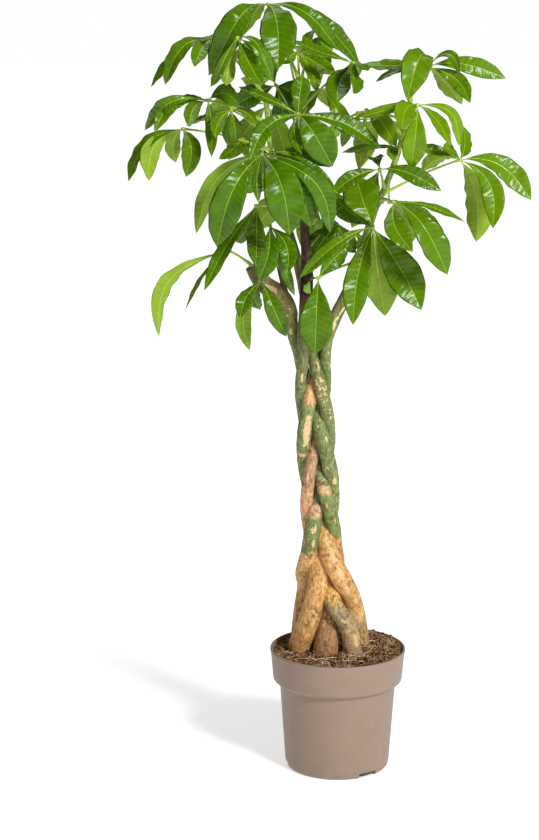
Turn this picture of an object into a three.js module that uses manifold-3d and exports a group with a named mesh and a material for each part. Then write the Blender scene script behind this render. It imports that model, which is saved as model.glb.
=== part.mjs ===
// Potted money tree: five braided trunks in a plastic nursery pot, with hand-shaped compound leaves.
// Units are millimetres, +Z is up, and the origin is the middle of the pot's underside.
// The front of the plant faces -Y, and +X is to its right.

import * as THREE from 'three';
import { mergeGeometries, mergeVertices } from 'three/addons/utils/BufferGeometryUtils.js';
import Module from 'manifold-3d';

const wasm = await Module();
wasm.setup();

// Pot: driving dimensions
const POT_HEIGHT = 190.7;
const RIM_RADIUS = 105.3;
const COLLAR_TOP_RADIUS = 104.4;
const COLLAR_FOOT_RADIUS = 100.6;
const COLLAR_FOOT_HEIGHT = 142;
const BODY_TOP_RADIUS = 90.3;
const BODY_TOP_HEIGHT = 136;
const BODY_FOOT_RADIUS = 81.7;
const FOOT_RADIUS = 77.5;
const POT_WALL = 1.8;
const LIP_HEIGHT = 5;
const LIP_THICKNESS = 3.2;
const LIP_BEVEL = 1;
const COLLAR_BEVEL = 1.5;
const FOOT_BEVEL_HEIGHT = 3;
const FOOT_BEVEL_RADIUS = 80.1;
const BODY_FOOT_HEIGHT = 12;
const POT_FLOOR_FILLET = 2;
const CHANNEL_HEIGHT = 8;
const CHANNEL_INNER_RADIUS = 44;
const CHANNEL_OUTER_RADIUS = 68;
const NOTCH_WIDTH = 32;
const NOTCH_COUNT = 3;
const NOTCH_DEPTH = 30;
const FIRST_NOTCH_ANGLE = THREE.MathUtils.degToRad(-53);
const DRAIN_HOLE_COUNT = 6;
const DRAIN_HOLE_RADIUS = 6;
const DRAIN_HOLE_SIDES = 8;
const POT_SIDES = 32;

// Soil: driving dimensions
const SOIL_EDGE_HEIGHT = 186;
const SOIL_MOUND = 1.5;
const SOIL_BACK_RISE = 3;
const SOIL_RIGHT_RISE = 4;
const SOIL_LUMP = 1.6;
const SOIL_RINGS = [1, 0.85, 0.6, 0.3, 0];
const SOIL_SIDES = 22;
const GAP = 0.3;

// Braid: driving dimensions
const BRAID_PITCH = 440;
const BRAID_FIRST_CROSSING = 257;
const STRAND_COUNT = 5;
const BRAID_WIDE = 34;
const BRAID_NARROW = 20;
const BRAID_NARROW_HEIGHT = 358;
const BRAID_WIDE_HEIGHT = 282;
const BRAID_FOOT_X = -16;
const BRAID_LEAN = -0.056;
const ROOT_HEIGHT = 185;
const ROOT_SWELL_HEIGHT = 250;
const STUB_FOOT_HEIGHT = 705;
const STUB_FULL_HEIGHT = 748;
const BRAID_TOP = 655;
const BRAID_STEP = 20;
const STRAND_FOOT_HEIGHT = 95;
const STRAND_SIDES = 8;
const STRAND_STEPS = 28;
const SHOOT_FOOT_RADIUS = 5.5;
const SHOOT_TAPER = 2;
const SHOOT_SIDES = 7;
const SHOOT_STEPS = 5;

// Leaves: driving dimensions
const BLADE_THICKNESS = 1.5;
const BLADE_ROWS = 5;
const BLADE_STATIONS = [0, 0.13, 0.36, 0.62, 0.84, 1];
const BLADE_ROOT_DEPTH = 1.2;
const BLADE_ROOT_POWER = 1.5;
const BLADE_TIP_POWER = 1;
const BLADE_FOLD = 0.2;
const BLADE_WAVE = 0.07;
const BLADE_WAVE_TURN = 9;
const BLADE_WAVE_SKEW = 1.3;
const BLADE_ARCH = 0.16;
const BLADE_ARCH_POWER = 0.8;
const BLADE_TURN_END = 0.3;
const LEAF_PHASE = 0.7;
const LEAFLET_PHASE = 1.9;
const ROSETTE_SPREAD = 300;
const ROSETTE_SHORTEST = 0.72;
const ROSETTE_DROOP = 0.45;
const ROSETTE_WIDTH_SHARE = 0.36;
const PETIOLE_FOOT_RADIUS = 2.1;
const PETIOLE_TIP_RADIUS = 1.6;
const PETIOLE_SIDES = 5;
const PETIOLE_STEPS = 4;
const PETIOLE_BEND_AT = 0.55;
const PETIOLE_RISE = 0.12;
const PETIOLE_BACK = 0.1;
const HUB_RADIUS = 4.2;

// Materials
const potPlastic = new THREE.MeshStandardMaterial({ color: 0xa08e80, roughness: 0.55, metalness: 0 });
const peatSoil = new THREE.MeshStandardMaterial({ color: 0x4a2f1b, roughness: 0.95, metalness: 0 });
const trunkBark = new THREE.MeshStandardMaterial({ color: 0xb58a58, roughness: 0.75, metalness: 0 });
const leafGreen = new THREE.MeshStandardMaterial({ color: 0x4f8a0e, roughness: 0.4, metalness: 0 });

// Turns a closed three.js geometry into a solid that can be joined and cut
function solidFrom(geometry) {
  const bare = geometry.index ? geometry.clone() : geometry;
  bare.deleteAttribute('normal');
  bare.deleteAttribute('uv');
  const merged = mergeVertices(bare, 1e-4);
  const corners = merged.index.array;
  const kept = [];
  for (let i = 0; i < corners.length; i += 3) {
    const [a, b, c] = [corners[i], corners[i + 1], corners[i + 2]];
    if (a !== b && b !== c && c !== a) {
      kept.push(a, b, c);
    }
  }
  return new wasm.Manifold(new wasm.Mesh({
    numProp: 3,
    vertProperties: new Float32Array(merged.attributes.position.array),
    triVerts: new Uint32Array(kept),
  }));
}

function geometryFrom(solid) {
  const mesh = solid.getMesh();
  const geometry = new THREE.BufferGeometry();
  geometry.setAttribute('position', new THREE.BufferAttribute(new Float32Array(mesh.vertProperties), 3));
  geometry.setIndex(new THREE.BufferAttribute(new Uint32Array(mesh.triVerts), 1));
  geometry.computeVertexNormals();
  return geometry;
}

function join(solids) {
  return wasm.Manifold.union(solids);
}

function pieceMesh(name, solid, material) {
  const mesh = new THREE.Mesh(geometryFrom(solid), material);
  mesh.name = name;
  return mesh;
}

function smoothStep(from, to, value) {
  return THREE.MathUtils.smoothstep(value, from, to);
}

// A LatheGeometry turns about Y, so its result is stood up along Z
function turned(profile, sides) {
  const points = profile.map(([radius, height]) => new THREE.Vector2(radius, height));
  const geometry = new THREE.LatheGeometry(points, sides);
  geometry.rotateX(Math.PI / 2);
  return geometry;
}

// A closed tube along a curve: a cylinder whose rings are moved onto the curve
function tubeAlong(curve, radiusAt, sides, steps) {
  const geometry = new THREE.CylinderGeometry(1, 1, 1, sides, steps);
  const frames = curve.computeFrenetFrames(steps, false);
  const centres = curve.getSpacedPoints(steps);
  const position = geometry.attributes.position;
  const place = new THREE.Vector3();
  for (let i = 0; i < position.count; i += 1) {
    place.fromBufferAttribute(position, i);
    const ring = Math.round((place.y + 0.5) * steps);
    const radius = radiusAt(ring / steps, centres[ring]);
    const moved = centres[ring].clone();
    moved.addScaledVector(frames.normals[ring], place.z * radius);
    moved.addScaledVector(frames.binormals[ring], place.x * radius);
    position.setXYZ(i, moved.x, moved.y, moved.z);
  }
  return geometry;
}

// Pot: one lathe-turned shell, with its foot notches and drain holes cut out
function makePot() {
  const floorTop = CHANNEL_HEIGHT + POT_WALL;
  const outer = [
    [0, 0],
    [CHANNEL_INNER_RADIUS, 0],
    [CHANNEL_INNER_RADIUS + POT_FLOOR_FILLET, CHANNEL_HEIGHT],
    [CHANNEL_OUTER_RADIUS - POT_FLOOR_FILLET, CHANNEL_HEIGHT],
    [CHANNEL_OUTER_RADIUS, 0],
    [FOOT_RADIUS, 0],
    [FOOT_BEVEL_RADIUS, FOOT_BEVEL_HEIGHT],
    [BODY_FOOT_RADIUS, BODY_FOOT_HEIGHT],
    [BODY_TOP_RADIUS, BODY_TOP_HEIGHT],
    [COLLAR_FOOT_RADIUS - COLLAR_BEVEL, COLLAR_FOOT_HEIGHT - COLLAR_BEVEL],
    [COLLAR_FOOT_RADIUS, COLLAR_FOOT_HEIGHT],
    [COLLAR_TOP_RADIUS, POT_HEIGHT - LIP_HEIGHT - LIP_BEVEL],
    [RIM_RADIUS, POT_HEIGHT - LIP_HEIGHT],
    [RIM_RADIUS, POT_HEIGHT - LIP_BEVEL],
    [RIM_RADIUS - LIP_BEVEL, POT_HEIGHT],
  ];
  const inner = [
    [RIM_RADIUS - LIP_THICKNESS, POT_HEIGHT],
    [COLLAR_TOP_RADIUS - 2 * POT_WALL, POT_HEIGHT - LIP_HEIGHT],
    [COLLAR_FOOT_RADIUS - POT_WALL, COLLAR_FOOT_HEIGHT + LIP_BEVEL],
    [BODY_TOP_RADIUS - POT_WALL, BODY_TOP_HEIGHT + LIP_BEVEL],
    [BODY_FOOT_RADIUS - POT_WALL, floorTop + POT_FLOOR_FILLET],
    [BODY_FOOT_RADIUS - POT_WALL - POT_FLOOR_FILLET, floorTop],
    [CHANNEL_INNER_RADIUS + POT_FLOOR_FILLET, floorTop],
    [CHANNEL_INNER_RADIUS, POT_WALL],
    [0, POT_WALL],
  ];
  const cuts = [];
  for (let i = 0; i < NOTCH_COUNT; i += 1) {
    const notch = new THREE.BoxGeometry(NOTCH_DEPTH, NOTCH_WIDTH, 2 * CHANNEL_HEIGHT);
    notch.translate(CHANNEL_OUTER_RADIUS - POT_WALL + NOTCH_DEPTH / 2, 0, 0);
    notch.rotateZ(FIRST_NOTCH_ANGLE + (i * 2 * Math.PI) / NOTCH_COUNT);
    cuts.push(solidFrom(notch));
  }
  for (let i = 0; i < DRAIN_HOLE_COUNT; i += 1) {
    const reach = 3 * POT_WALL;
    const hole = new THREE.CylinderGeometry(DRAIN_HOLE_RADIUS, DRAIN_HOLE_RADIUS, reach, DRAIN_HOLE_SIDES);
    hole.rotateX(Math.PI / 2);
    hole.translate((CHANNEL_INNER_RADIUS + CHANNEL_OUTER_RADIUS) / 2, 0, CHANNEL_HEIGHT + POT_WALL / 2);
    hole.rotateZ(FIRST_NOTCH_ANGLE + ((i + 0.5) * 2 * Math.PI) / DRAIN_HOLE_COUNT);
    cuts.push(solidFrom(hole));
  }
  return solidFrom(turned([...outer, ...inner], POT_SIDES)).subtract(join(cuts));
}

// Height of the lumpy peat surface at a place in the pot
function soilHeight(x, y, radiusShare) {
  const mound = SOIL_MOUND * (1 - radiusShare * radiusShare);
  const slope = (SOIL_BACK_RISE * y + SOIL_RIGHT_RISE * x) / BODY_TOP_RADIUS;
  const lumps = Math.sin(x / 5 + y / 6) + Math.sin(x / 9 - y / 4);
  return SOIL_EDGE_HEIGHT + mound + slope + SOIL_LUMP * lumps * (1 - radiusShare ** 2);
}

// Soil: fills the pot, and its top rings are raised by the lump formula
function makeSoil(grownStrands) {
  const floorTop = CHANNEL_HEIGHT + POT_WALL + GAP;
  const edge = COLLAR_TOP_RADIUS - 3 * POT_WALL;
  const profile = [
    [0, POT_WALL + GAP],
    [CHANNEL_INNER_RADIUS - 2 * GAP, POT_WALL + GAP],
    [CHANNEL_INNER_RADIUS + POT_FLOOR_FILLET - 2 * GAP, floorTop],
    [BODY_FOOT_RADIUS - POT_WALL - POT_FLOOR_FILLET - 2 * GAP, floorTop],
    [BODY_TOP_RADIUS - POT_WALL - 2 * GAP, BODY_TOP_HEIGHT + LIP_BEVEL],
    [COLLAR_FOOT_RADIUS - POT_WALL - 2 * GAP, COLLAR_FOOT_HEIGHT + LIP_BEVEL],
  ];
  for (const share of SOIL_RINGS) {
    profile.push([edge * share, SOIL_EDGE_HEIGHT]);
  }
  const geometry = turned(profile, SOIL_SIDES);
  const position = geometry.attributes.position;
  for (let i = 0; i < position.count; i += 1) {
    const [x, y, z] = [position.getX(i), position.getY(i), position.getZ(i)];
    if (z > SOIL_EDGE_HEIGHT - GAP) {
      position.setZ(i, soilHeight(x, y, Math.hypot(x, y) / edge));
    }
  }
  return solidFrom(geometry).subtract(grownStrands);
}

// Braid: the middle of a strand at a height, as it goes round its flat figure of eight
function braidPoint(order, height) {
  const crossing = BRAID_FIRST_CROSSING + (order * BRAID_PITCH) / STRAND_COUNT;
  const turn = (2 * Math.PI * (height - crossing)) / BRAID_PITCH;
  const narrowing = smoothStep(BRAID_WIDE_HEIGHT, BRAID_NARROW_HEIGHT, height);
  const reach = THREE.MathUtils.lerp(BRAID_WIDE, BRAID_NARROW, narrowing);
  const middle = BRAID_FOOT_X + BRAID_LEAN * (height - ROOT_HEIGHT);
  return new THREE.Vector3(
    middle + reach * Math.sin(turn),
    reach * Math.sin(2 * turn),
    height,
  );
}

// Each trunk: the points it passes from the soil up to where it joins the braid, the height where it
// does, its girth beside the others, how much it swells (or thins, below zero) at its foot, the points
// that its branch passes above the braid, and by how much that branch is thicker at its start
const TRUNKS = [
  {
    name: 'trunk_1_middle',
    order: 0,
    foot: [[-19, -14, 185], [-15, -12, 220]],
    braidFrom: 262,
    girth: 0.92,
    swell: 0.36,
    branch: [[-55, -14, 700], [-51, -8, 745], [-51, 2, 805], [-55, 6, 860], [-60, 5, 960], [-62, 0, 1068]],
    stub: 0.3,
  },
  {
    name: 'trunk_2_left',
    order: 1,
    foot: [[-59, 4, 185], [-50, -6, 220], [-38, -15, 260], [-31, -18, 300]],
    braidFrom: 335,
    girth: 1.08,
    swell: 0.04,
    branch: [[-72, 6, 690], [-76, 0, 722], [-94, -12, 748], [-116, -20, 766], [-130, -24, 792]],
    stub: 0.6,
  },
  {
    name: 'trunk_3_back_left',
    order: 2,
    foot: [[-58, 36, 185], [-55, 34, 235]],
    braidFrom: 282,
    girth: 1,
    swell: 0,
    branch: [[-48, 26, 705], [-60, 38, 770], [-84, 40, 860], [-104, 30, 950], [-114, 16, 1045]],
    stub: 0,
  },
  {
    name: 'trunk_4_front_right',
    order: 3,
    foot: [[24, -22, 185], [15, -22, 232]],
    braidFrom: 262,
    girth: 0.87,
    swell: 0.1,
    branch: [[-16, -16, 690], [-8, -18, 715], [8, -22, 745], [20, -28, 775], [28, -32, 803]],
    stub: 0.1,
  },
  {
    name: 'trunk_5_back_right',
    order: 4,
    foot: [[35, 24, 185], [29, 18, 225], [20, 10, 264]],
    braidFrom: 300,
    girth: 1.1,
    swell: -0.12,
    branch: [[-10, 24, 700], [22, 22, 770], [50, 8, 870], [64, 2, 903], [80, -5, 945], [95, -8, 1000],
      [106, -10, 1066]],
    stub: 0,
  },
];

// Side shoots that leave a trunk at a height
const SIDE_SHOOTS = [
  { name: 'left_side_shoot', trunk: 'trunk_2_left', height: 722, points: [[-84, -16, 758], [-92, -28, 792]] },
];

// Radius of a trunk at a height: thick in the pot, even in the braid, thin where it is young green wood
const TRUNK_GIRTH = [
  [95, 14], [190, 16], [266, 15], [362, 13], [450, 11],
  [600, 9.4], [700, 9], [770, 8], [880, 4.6], [1070, 3],
];

function trunkRadius(height) {
  const level = THREE.MathUtils.clamp(height, TRUNK_GIRTH[0][0], TRUNK_GIRTH.at(-1)[0] - 1);
  const above = TRUNK_GIRTH.findIndex(([top]) => top > level);
  const [lowLevel, lowRadius] = TRUNK_GIRTH[above - 1];
  const [highLevel, highRadius] = TRUNK_GIRTH[above];
  return THREE.MathUtils.mapLinear(level, lowLevel, highLevel, lowRadius, highRadius);
}

function trunkCurve(trunk) {
  const [footX, footY] = trunk.foot[0];
  const places = [[footX, footY, STRAND_FOOT_HEIGHT], ...trunk.foot];
  const points = places.map((place) => new THREE.Vector3(...place));
  for (let height = trunk.braidFrom; height <= BRAID_TOP; height += BRAID_STEP) {
    points.push(braidPoint(trunk.order, height));
  }
  for (const place of trunk.branch) {
    points.push(new THREE.Vector3(...place));
  }
  return new THREE.CatmullRomCurve3(points, false, 'centripetal');
}

// The point of a curve that rises steadily, at a height
function pointAtHeight(curve, height) {
  let [low, high] = [0, 1];
  for (let i = 0; i < 30; i += 1) {
    const middle = (low + high) / 2;
    if (curve.getPointAt(middle).z < height) {
      low = middle;
    } else {
      high = middle;
    }
  }
  return curve.getPointAt(low);
}

function shootCurve(shoot, curve) {
  const points = shoot.points.map((place) => new THREE.Vector3(...place));
  return new THREE.CatmullRomCurve3([pointAtHeight(curve, shoot.height), ...points]);
}

// A trunk and its side shoots, grown all round by a small extra where a clearance is wanted
function makeTrunk(trunk, curve, shoots, extra) {
  const girth = (share, at) => {
    const swell = trunk.swell * (1 - smoothStep(ROOT_HEIGHT, ROOT_SWELL_HEIGHT, at.z));
    const stub = trunk.stub * smoothStep(STUB_FOOT_HEIGHT, STUB_FULL_HEIGHT, at.z);
    return trunk.girth * trunkRadius(at.z) * (1 + swell + stub) + extra;
  };
  const solids = [solidFrom(tubeAlong(curve, girth, STRAND_SIDES, STRAND_STEPS))];
  for (const shoot of shoots) {
    const shootGirth = (share) => SHOOT_FOOT_RADIUS - share * SHOOT_TAPER + extra;
    solids.push(solidFrom(tubeAlong(shoot, shootGirth, SHOOT_SIDES, SHOOT_STEPS)));
  }
  return join(solids);
}

// Leaflet: the blade's outline, as its width at a share of its length, from root to pointed tip
function bladeOutline(share) {
  return share ** BLADE_ROOT_POWER * (1 - share) ** BLADE_TIP_POWER;
}

const BLADE_WIDEST = bladeOutline(BLADE_ROOT_POWER / (BLADE_ROOT_POWER + BLADE_TIP_POWER));

function bladeWidthShare(share) {
  return bladeOutline(share) / BLADE_WIDEST;
}

// Leaflet: the midrib bows towards the side that the leaf faces and sweeps to one side, and the blade
// folds up from it
function leafletBlade(hub, facing, measures, phase) {
  const [dx, dy, dz, width, turn = 0, arch = BLADE_ARCH, sweep = 0] = measures;
  const reach = new THREE.Vector3(dx, dy, dz);
  const length = reach.length();
  const along = reach.clone().normalize();
  const up = facing.clone().addScaledVector(along, -facing.dot(along)).normalize();
  const aside = up.clone().cross(along);
  const midribAt = (share) => {
    const bow = arch * length * Math.sin(Math.PI * share ** BLADE_ARCH_POWER);
    const swept = sweep * length * Math.sin(Math.PI * share);
    const gone = THREE.MathUtils.lerp(BLADE_ROOT_DEPTH / length, 1, share);
    return hub.clone().addScaledVector(reach, gone).addScaledVector(up, bow).addScaledVector(aside, swept);
  };
  const tangentAt = (share) => {
    const ahead = midribAt(Math.min(share + 0.01, 1));
    return ahead.sub(midribAt(Math.max(share - 0.01, 0))).normalize();
  };
  const half = new THREE.PlaneGeometry(1, 1, 2, BLADE_ROWS);
  const columns = 3;
  const faces = [1, -1].map((side) => {
    const face = half.clone();
    for (let i = 0; i < face.attributes.position.count; i += 1) {
      const row = Math.floor(i / columns);
      const across = (i % columns) - 1;
      const share = BLADE_STATIONS[row];
      const place = midribAt(share);
      const tangent = tangentAt(share);
      const normal = up.clone().addScaledVector(tangent, -up.dot(tangent)).normalize();
      const turnSign = tangent.clone().cross(normal).y < 0 ? 1 : -1;
      const twist = turnSign * turn * smoothStep(0, BLADE_TURN_END, share);
      normal.applyAxisAngle(tangent, THREE.MathUtils.degToRad(twist));
      const sideways = normal.clone().cross(tangent);
      const halfWidth = (width / 2) * bladeWidthShare(share);
      const wave = BLADE_WAVE * Math.sin(BLADE_WAVE_TURN * share + phase + BLADE_WAVE_SKEW * across);
      const edgeLift = (BLADE_FOLD + 2 * wave) * halfWidth;
      const lift = across === 0 ? (side * BLADE_THICKNESS) / 2 : edgeLift;
      const isEnd = row === 0 || row === BLADE_ROWS;
      place.addScaledVector(sideways, across * halfWidth);
      place.addScaledVector(normal, isEnd ? 0 : lift);
      face.attributes.position.setXYZ(i, place.x, place.y, place.z);
    }
    return face;
  });
  const lower = faces[1].index.array;
  for (let i = 0; i < lower.length; i += 3) {
    [lower[i + 1], lower[i + 2]] = [lower[i + 2], lower[i + 1]];
  }
  return solidFrom(mergeGeometries(faces));
}

// A rosette of leaflets fanned evenly round the way a leaf faces, drooping, longest in the middle
function rosette(facing, count, length, turn) {
  const axis = new THREE.Vector3(...facing).normalize();
  const side = new THREE.Vector3(0, 0, 1).cross(axis).normalize();
  const down = side.clone().cross(axis).negate();
  const leaflets = [];
  for (let i = 0; i < count; i += 1) {
    const share = (i + 0.5) / count;
    const angle = THREE.MathUtils.degToRad(turn + ROSETTE_SPREAD * (share - 0.5));
    const reach = THREE.MathUtils.lerp(ROSETTE_SHORTEST, 1, Math.sin(Math.PI * share));
    const tip = down.clone().multiplyScalar(-Math.cos(angle)).addScaledVector(side, Math.sin(angle));
    tip.addScaledVector(axis, -ROSETTE_DROOP).normalize().multiplyScalar(length * reach);
    leaflets.push([tip.x, tip.y, tip.z, ROSETTE_WIDTH_SHARE * length * reach, 0]);
  }
  return leaflets;
}

// Leaves: the hub where a leaf's leaflets meet, the way it faces, the trunk and height that its
// stalk leaves, and for each leaflet the reach from hub to tip (x, y, z), its width, how many degrees
// it is turned about its midrib towards the front, and the bow and the sideways sweep of its midrib
// as shares of its length. The leaflets listed as backward face the other way, with their undersides
// to the front
const LEAVES = [
  {
    name: 'leaf_01_upper_left',
    hub: [-189, -10, 1126], facing: [-0.4, -0.5, 0.8], stalk: ['trunk_3_back_left', 1040], backward: [3],
    leaflets: [[-71, -10, -67, 28, 30, 0.25], [-95, 20, -72, 22, 10, 0.15, 0.05],
      [-24, -60, -39, 24, 30, 0.1], [23, 70, -41, 29, 0, 0.3, 0.15]],
  },
  {
    name: 'leaf_02_crown',
    hub: [-109, 0, 1175], facing: [0, -0.5, 0.9], stalk: ['trunk_1_middle', 1063], backward: [4, 5],
    leaflets: [[-86, -30, -102, 44, 28, 0.4, 0.2], [17, -75, -91, 54, 0, 0.2, 0.05],
      [104, 10, -67, 26, 40, 0.25, -0.1], [138, 50, -94, 28, 40, 0.12, 0.05], [-42, 70, -48, 28],
      [22, 80, -52, 24]],
  },
  {
    name: 'leaf_03_upper_left_front',
    hub: [-149, -98, 1129], facing: [0.1, -0.7, 0.7], stalk: ['trunk_3_back_left', 1030], backward: [2],
    leaflets: [[41, -30, -31, 12, 10, 0.2, 0.1], [36, -30, -66, 33, 10, -0.05], [-15, -30, -66, 23, 0, 0.3],
      [-40, 20, -70, 16, 15, 0.2, 0.1], [49, 20, -62, 25, 20, 0.2]],
  },
  {
    name: 'leaf_04_crown_back',
    hub: [-99, 60, 1055], facing: [0, -0.9, 0.4], stalk: ['trunk_1_middle', 985], backward: [],
    leaflets: [[-60, 30, -30, 35, 15, 0.05], [34, 14, -19, 38, 5, 0.1], [13, 30, -58, 36],
      [-28, 36, 30, 30, 10, 0.1, -0.1]],
  },
  {
    name: 'leaf_05_crown_young',
    hub: [-65, 34, 1105], facing: [0.1, -0.7, 0.7], stalk: ['trunk_1_middle', 1048], backward: [4],
    leaflets: [[57, -40, -31, 24, 30, 0], [28, -30, -57, 24, -12, 0.1, 0.05], [-21, -20, -17, 18, 20],
      [50, 50, -18, 33, 30, 0.2, 0.1], [22, 60, -42, 26]],
  },
  {
    name: 'leaf_06_crown_right',
    hub: [-41, 52, 1139], facing: [0, -0.7, 0.7], stalk: ['trunk_1_middle', 1056], backward: [2],
    leaflets: [[-15, -20, -25, 15, 10, 0, -0.05], [26, -20, -34, 20, 10, 0.1, 0.05],
      [17, 60, -18, 24, -15]],
  },
  {
    name: 'leaf_07_upper_middle',
    hub: [17, -20, 1091], facing: [0.1, -0.8, 0.6], stalk: ['trunk_1_middle', 1022], backward: [4],
    leaflets: [[-91, -30, 33, 24, -17, 0.05, 0.05], [-23, -60, -54, 37, 0, -0.05, -0.1],
      [0, -70, -41, 36, -50, 0.05], [21, -60, -9, 21, -12, 0], [5, 50, -25, 20]],
  },
  {
    name: 'leaf_08_upper_right',
    hub: [126, -40, 1087], facing: [0.1, -0.6, 0.8], stalk: ['trunk_5_back_right', 1064], backward: [6],
    leaflets: [[-103, 30, 0, 23, 0, 0], [-76, 40, -24, 15, 20, 0.1], [-32, -70, -45, 43, 10, 0.48, -0.05],
      [43, -50, -13, 14, 35, 0.3, 0.25], [113, 0, -17, 27, 45, 0.12], [60, -30, -51, 24, 40, 0, 0.2],
      [53, 60, -58, 32, 0, 0.05]],
  },
  {
    name: 'leaf_09_right_arching',
    hub: [110, -70, 1033], facing: [0.1, -0.7, 0.7], stalk: ['trunk_5_back_right', 995], backward: [],
    leaflets: [[-23, -80, -30, 33, 10, 0.1, -0.1], [-84, -10, -17, 17, 20, 0.17, 0.1],
      [-8, 0, -92, 35, 10, 0.2], [62, 10, -60, 19, 20, 0.33, 0.1], [46, -50, -55, 20, 5, 0.1, 0.05]],
  },
  {
    name: 'leaf_10_right_inner',
    hub: [37, -10, 1022], facing: [0, -0.8, 0.6], stalk: ['trunk_5_back_right', 985], backward: [1],
    leaflets: [[44, -50, -50, 29, 15, 0.2], [-10, 10, -90, 20, 0, 0], [-36, 20, -56, 16, 20, 0.2]],
  },
  {
    name: 'leaf_11_right_middle',
    hub: [87, -30, 969], facing: [0, -0.6, 0.8], stalk: ['trunk_5_back_right', 940], backward: [3],
    leaflets: [[79, 10, -12, 18, 17, 0.05], [-86, -10, -7, 16, 0, 0.05],
      [-12, -60, -15, 17, 10, 0.05, -0.1], [40, 90, -11, 33]],
  },
  {
    name: 'leaf_12_far_right',
    hub: [176, -20, 950], facing: [0.3, -0.5, 0.8], stalk: ['trunk_5_back_right', 895], backward: [0, 3, 5],
    leaflets: [[28, 30, -125, 48, 0, 0.1, -0.05], [48, -30, -98, 33, 45, 0.15, 0.15],
      [106, 0, -59, 36, 40, 0.15, 0.1], [6, 50, 47, 28, 0, 0, -0.1], [-28, -50, 23, 26, 25, 0.05],
      [-54, 60, -22, 26, 0, 0.1, 0.1]],
  },
  {
    name: 'leaf_13_right_front',
    hub: [57, -60, 939], facing: [0, -0.7, 0.7], stalk: ['trunk_5_back_right', 905], backward: [],
    leaflets: [[89, -20, -29, 26, 30, 0.15], [-71, -20, -37, 24, 20, 0.1, -0.05],
      [-17, 30, -54, 28, 10, 0.05], [-10, 60, 10, 26]],
  },
  {
    name: 'leaf_14_lower_right_front',
    hub: [47, -90, 858], facing: [0.1, -0.8, 0.6], stalk: ['trunk_5_back_right', 876], backward: [4],
    leaflets: [[-24, 30, 70, 55, 15, 0.1, 0.05], [-56, 50, 36, 28, 25, -0.05],
      [-106, -20, -72, 22, 10, 0.2], [-28, -40, -138, 38, 0, 0.05, -0.05], [20, 40, -137, 52, 0, -0.05],
      [25, 80, -100, 18, -20, 0.1, -0.05], [72, -10, -120, 52, 20, -0.05, 0.05]],
  },
  {
    name: 'leaf_15_right_hanging',
    hub: [76, -110, 896], facing: [0.2, -0.7, 0.7], stalk: ['trunk_5_back_right', 888], backward: [],
    leaflets: [[27, -60, -64, 33, 20, 0.05, -0.15], [79, -20, -102, 42, 20, 0.25, -0.05],
      [105, 30, -31, 14, 0, 0.1], [77, 60, -52, 18, 30, 0.05, 0.05]],
  },
  {
    name: 'leaf_16_front_star',
    hub: [-62, -110, 1022], facing: [0, -1, 0.3], stalk: ['trunk_1_middle', 975], backward: [],
    leaflets: [[6, 10, 55, 29, 0, 0.15], [-86, 10, 38, 16, -18, 0.1], [-67, -50, -63, 26, 0, 0.1, -0.15],
      [6, -50, -53, 18, 20, 0.05, -0.1], [50, -20, -73, 48, 5, 0.35], [120, 20, -51, 28, -16, 0, 0.1]],
  },
  {
    name: 'leaf_17_front_large',
    hub: [-113, -130, 965], facing: [0, -0.8, 0.6], stalk: ['trunk_3_back_left', 985], backward: [0],
    leaflets: [[-97, 30, -117, 28, 0, 0.17, 0.12], [-64, -20, -130, 47, 15, 0.35],
      [-2, -70, -61, 14, 0, 0, -0.05], [41, -40, -110, 56, 5, 0.3, 0.05], [99, 10, -18, 22, 0, 0.2],
      [98, 40, -116, 33, 20, 0.35, 0.05], [109, -10, -54, 21, 20, 0.15, 0.05], [70, 25, -106, 34, 0, 0.3]],
  },
  {
    name: 'leaf_18_left_upper',
    hub: [-195, -50, 1038], facing: [-0.2, -0.7, 0.7], stalk: ['trunk_3_back_left', 1000], backward: [],
    leaflets: [[-95, 20, -45, 24, 30, 0.35, 0.1], [-75, -40, -44, 23, 20, 0.1, -0.2],
      [-50, 30, -2, 12, 10, 0.1], [-23, -60, -35, 22, 20, 0.1, -0.1], [10, -80, -76, 20, 0, 0.1, 0.05],
      [42, 20, -4, 31, 30, 0.25, 0.1]],
  },
  {
    name: 'leaf_19_left_inner',
    hub: [-159, -80, 1026], facing: [-0.1, -0.8, 0.6], stalk: ['trunk_3_back_left', 974], backward: [],
    leaflets: [[-67, 15, -24, 18, -19, 0.05], [-21, -50, -37, 22, 15, 0.05, -0.1],
      [-8, 30, -52, 15, 20, 0, -0.05], [36, -20, -20, 16, 0, 0.1, 0.15], [5, 10, -46, 22, 0, 0.05, 0.05]],
  },
  {
    name: 'leaf_20_far_left',
    hub: [-231, -60, 997], facing: [-0.3, -0.7, 0.7], stalk: ['trunk_3_back_left', 960], backward: [1, 2],
    leaflets: [[-81, 0, -77, 26, 0, 0.15, -0.12], [-47, -40, -72, 30, -40, 0.25, 0.05],
      [-14, 40, -52, 25, 0, 0.15, 0.1], [6, -30, -67, 30, 10, 0.2, 0.22]],
  },
  {
    name: 'leaf_21_lower_left',
    hub: [-167, -40, 817], facing: [-0.3, -0.7, 0.7], stalk: ['trunk_2_left', 789], backward: [0],
    leaflets: [[-104, 0, -131, 28, 0, 0, 0.34], [-64, -5, -90, 11, -17, 0.05, -0.05],
      [-22, 30, -36, 15, 40, 0.05, 0.05]],
  },
  {
    name: 'leaf_22_left_middle',
    hub: [-124, -70, 886], facing: [-0.2, -0.8, 0.6], stalk: ['trunk_3_back_left', 865], backward: [],
    leaflets: [[-75, -25, -122, 22, 10, 0, -0.05], [3, -80, -78, 28, 5, -0.05],
      [-31, 30, -57, 21, 20, 0.1, 0.15]],
  },
  {
    name: 'leaf_23_lower_left_front',
    hub: [-118, -60, 774], facing: [0, -0.8, 0.6], stalk: ['trunk_2_left', 764], backward: [1],
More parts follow.
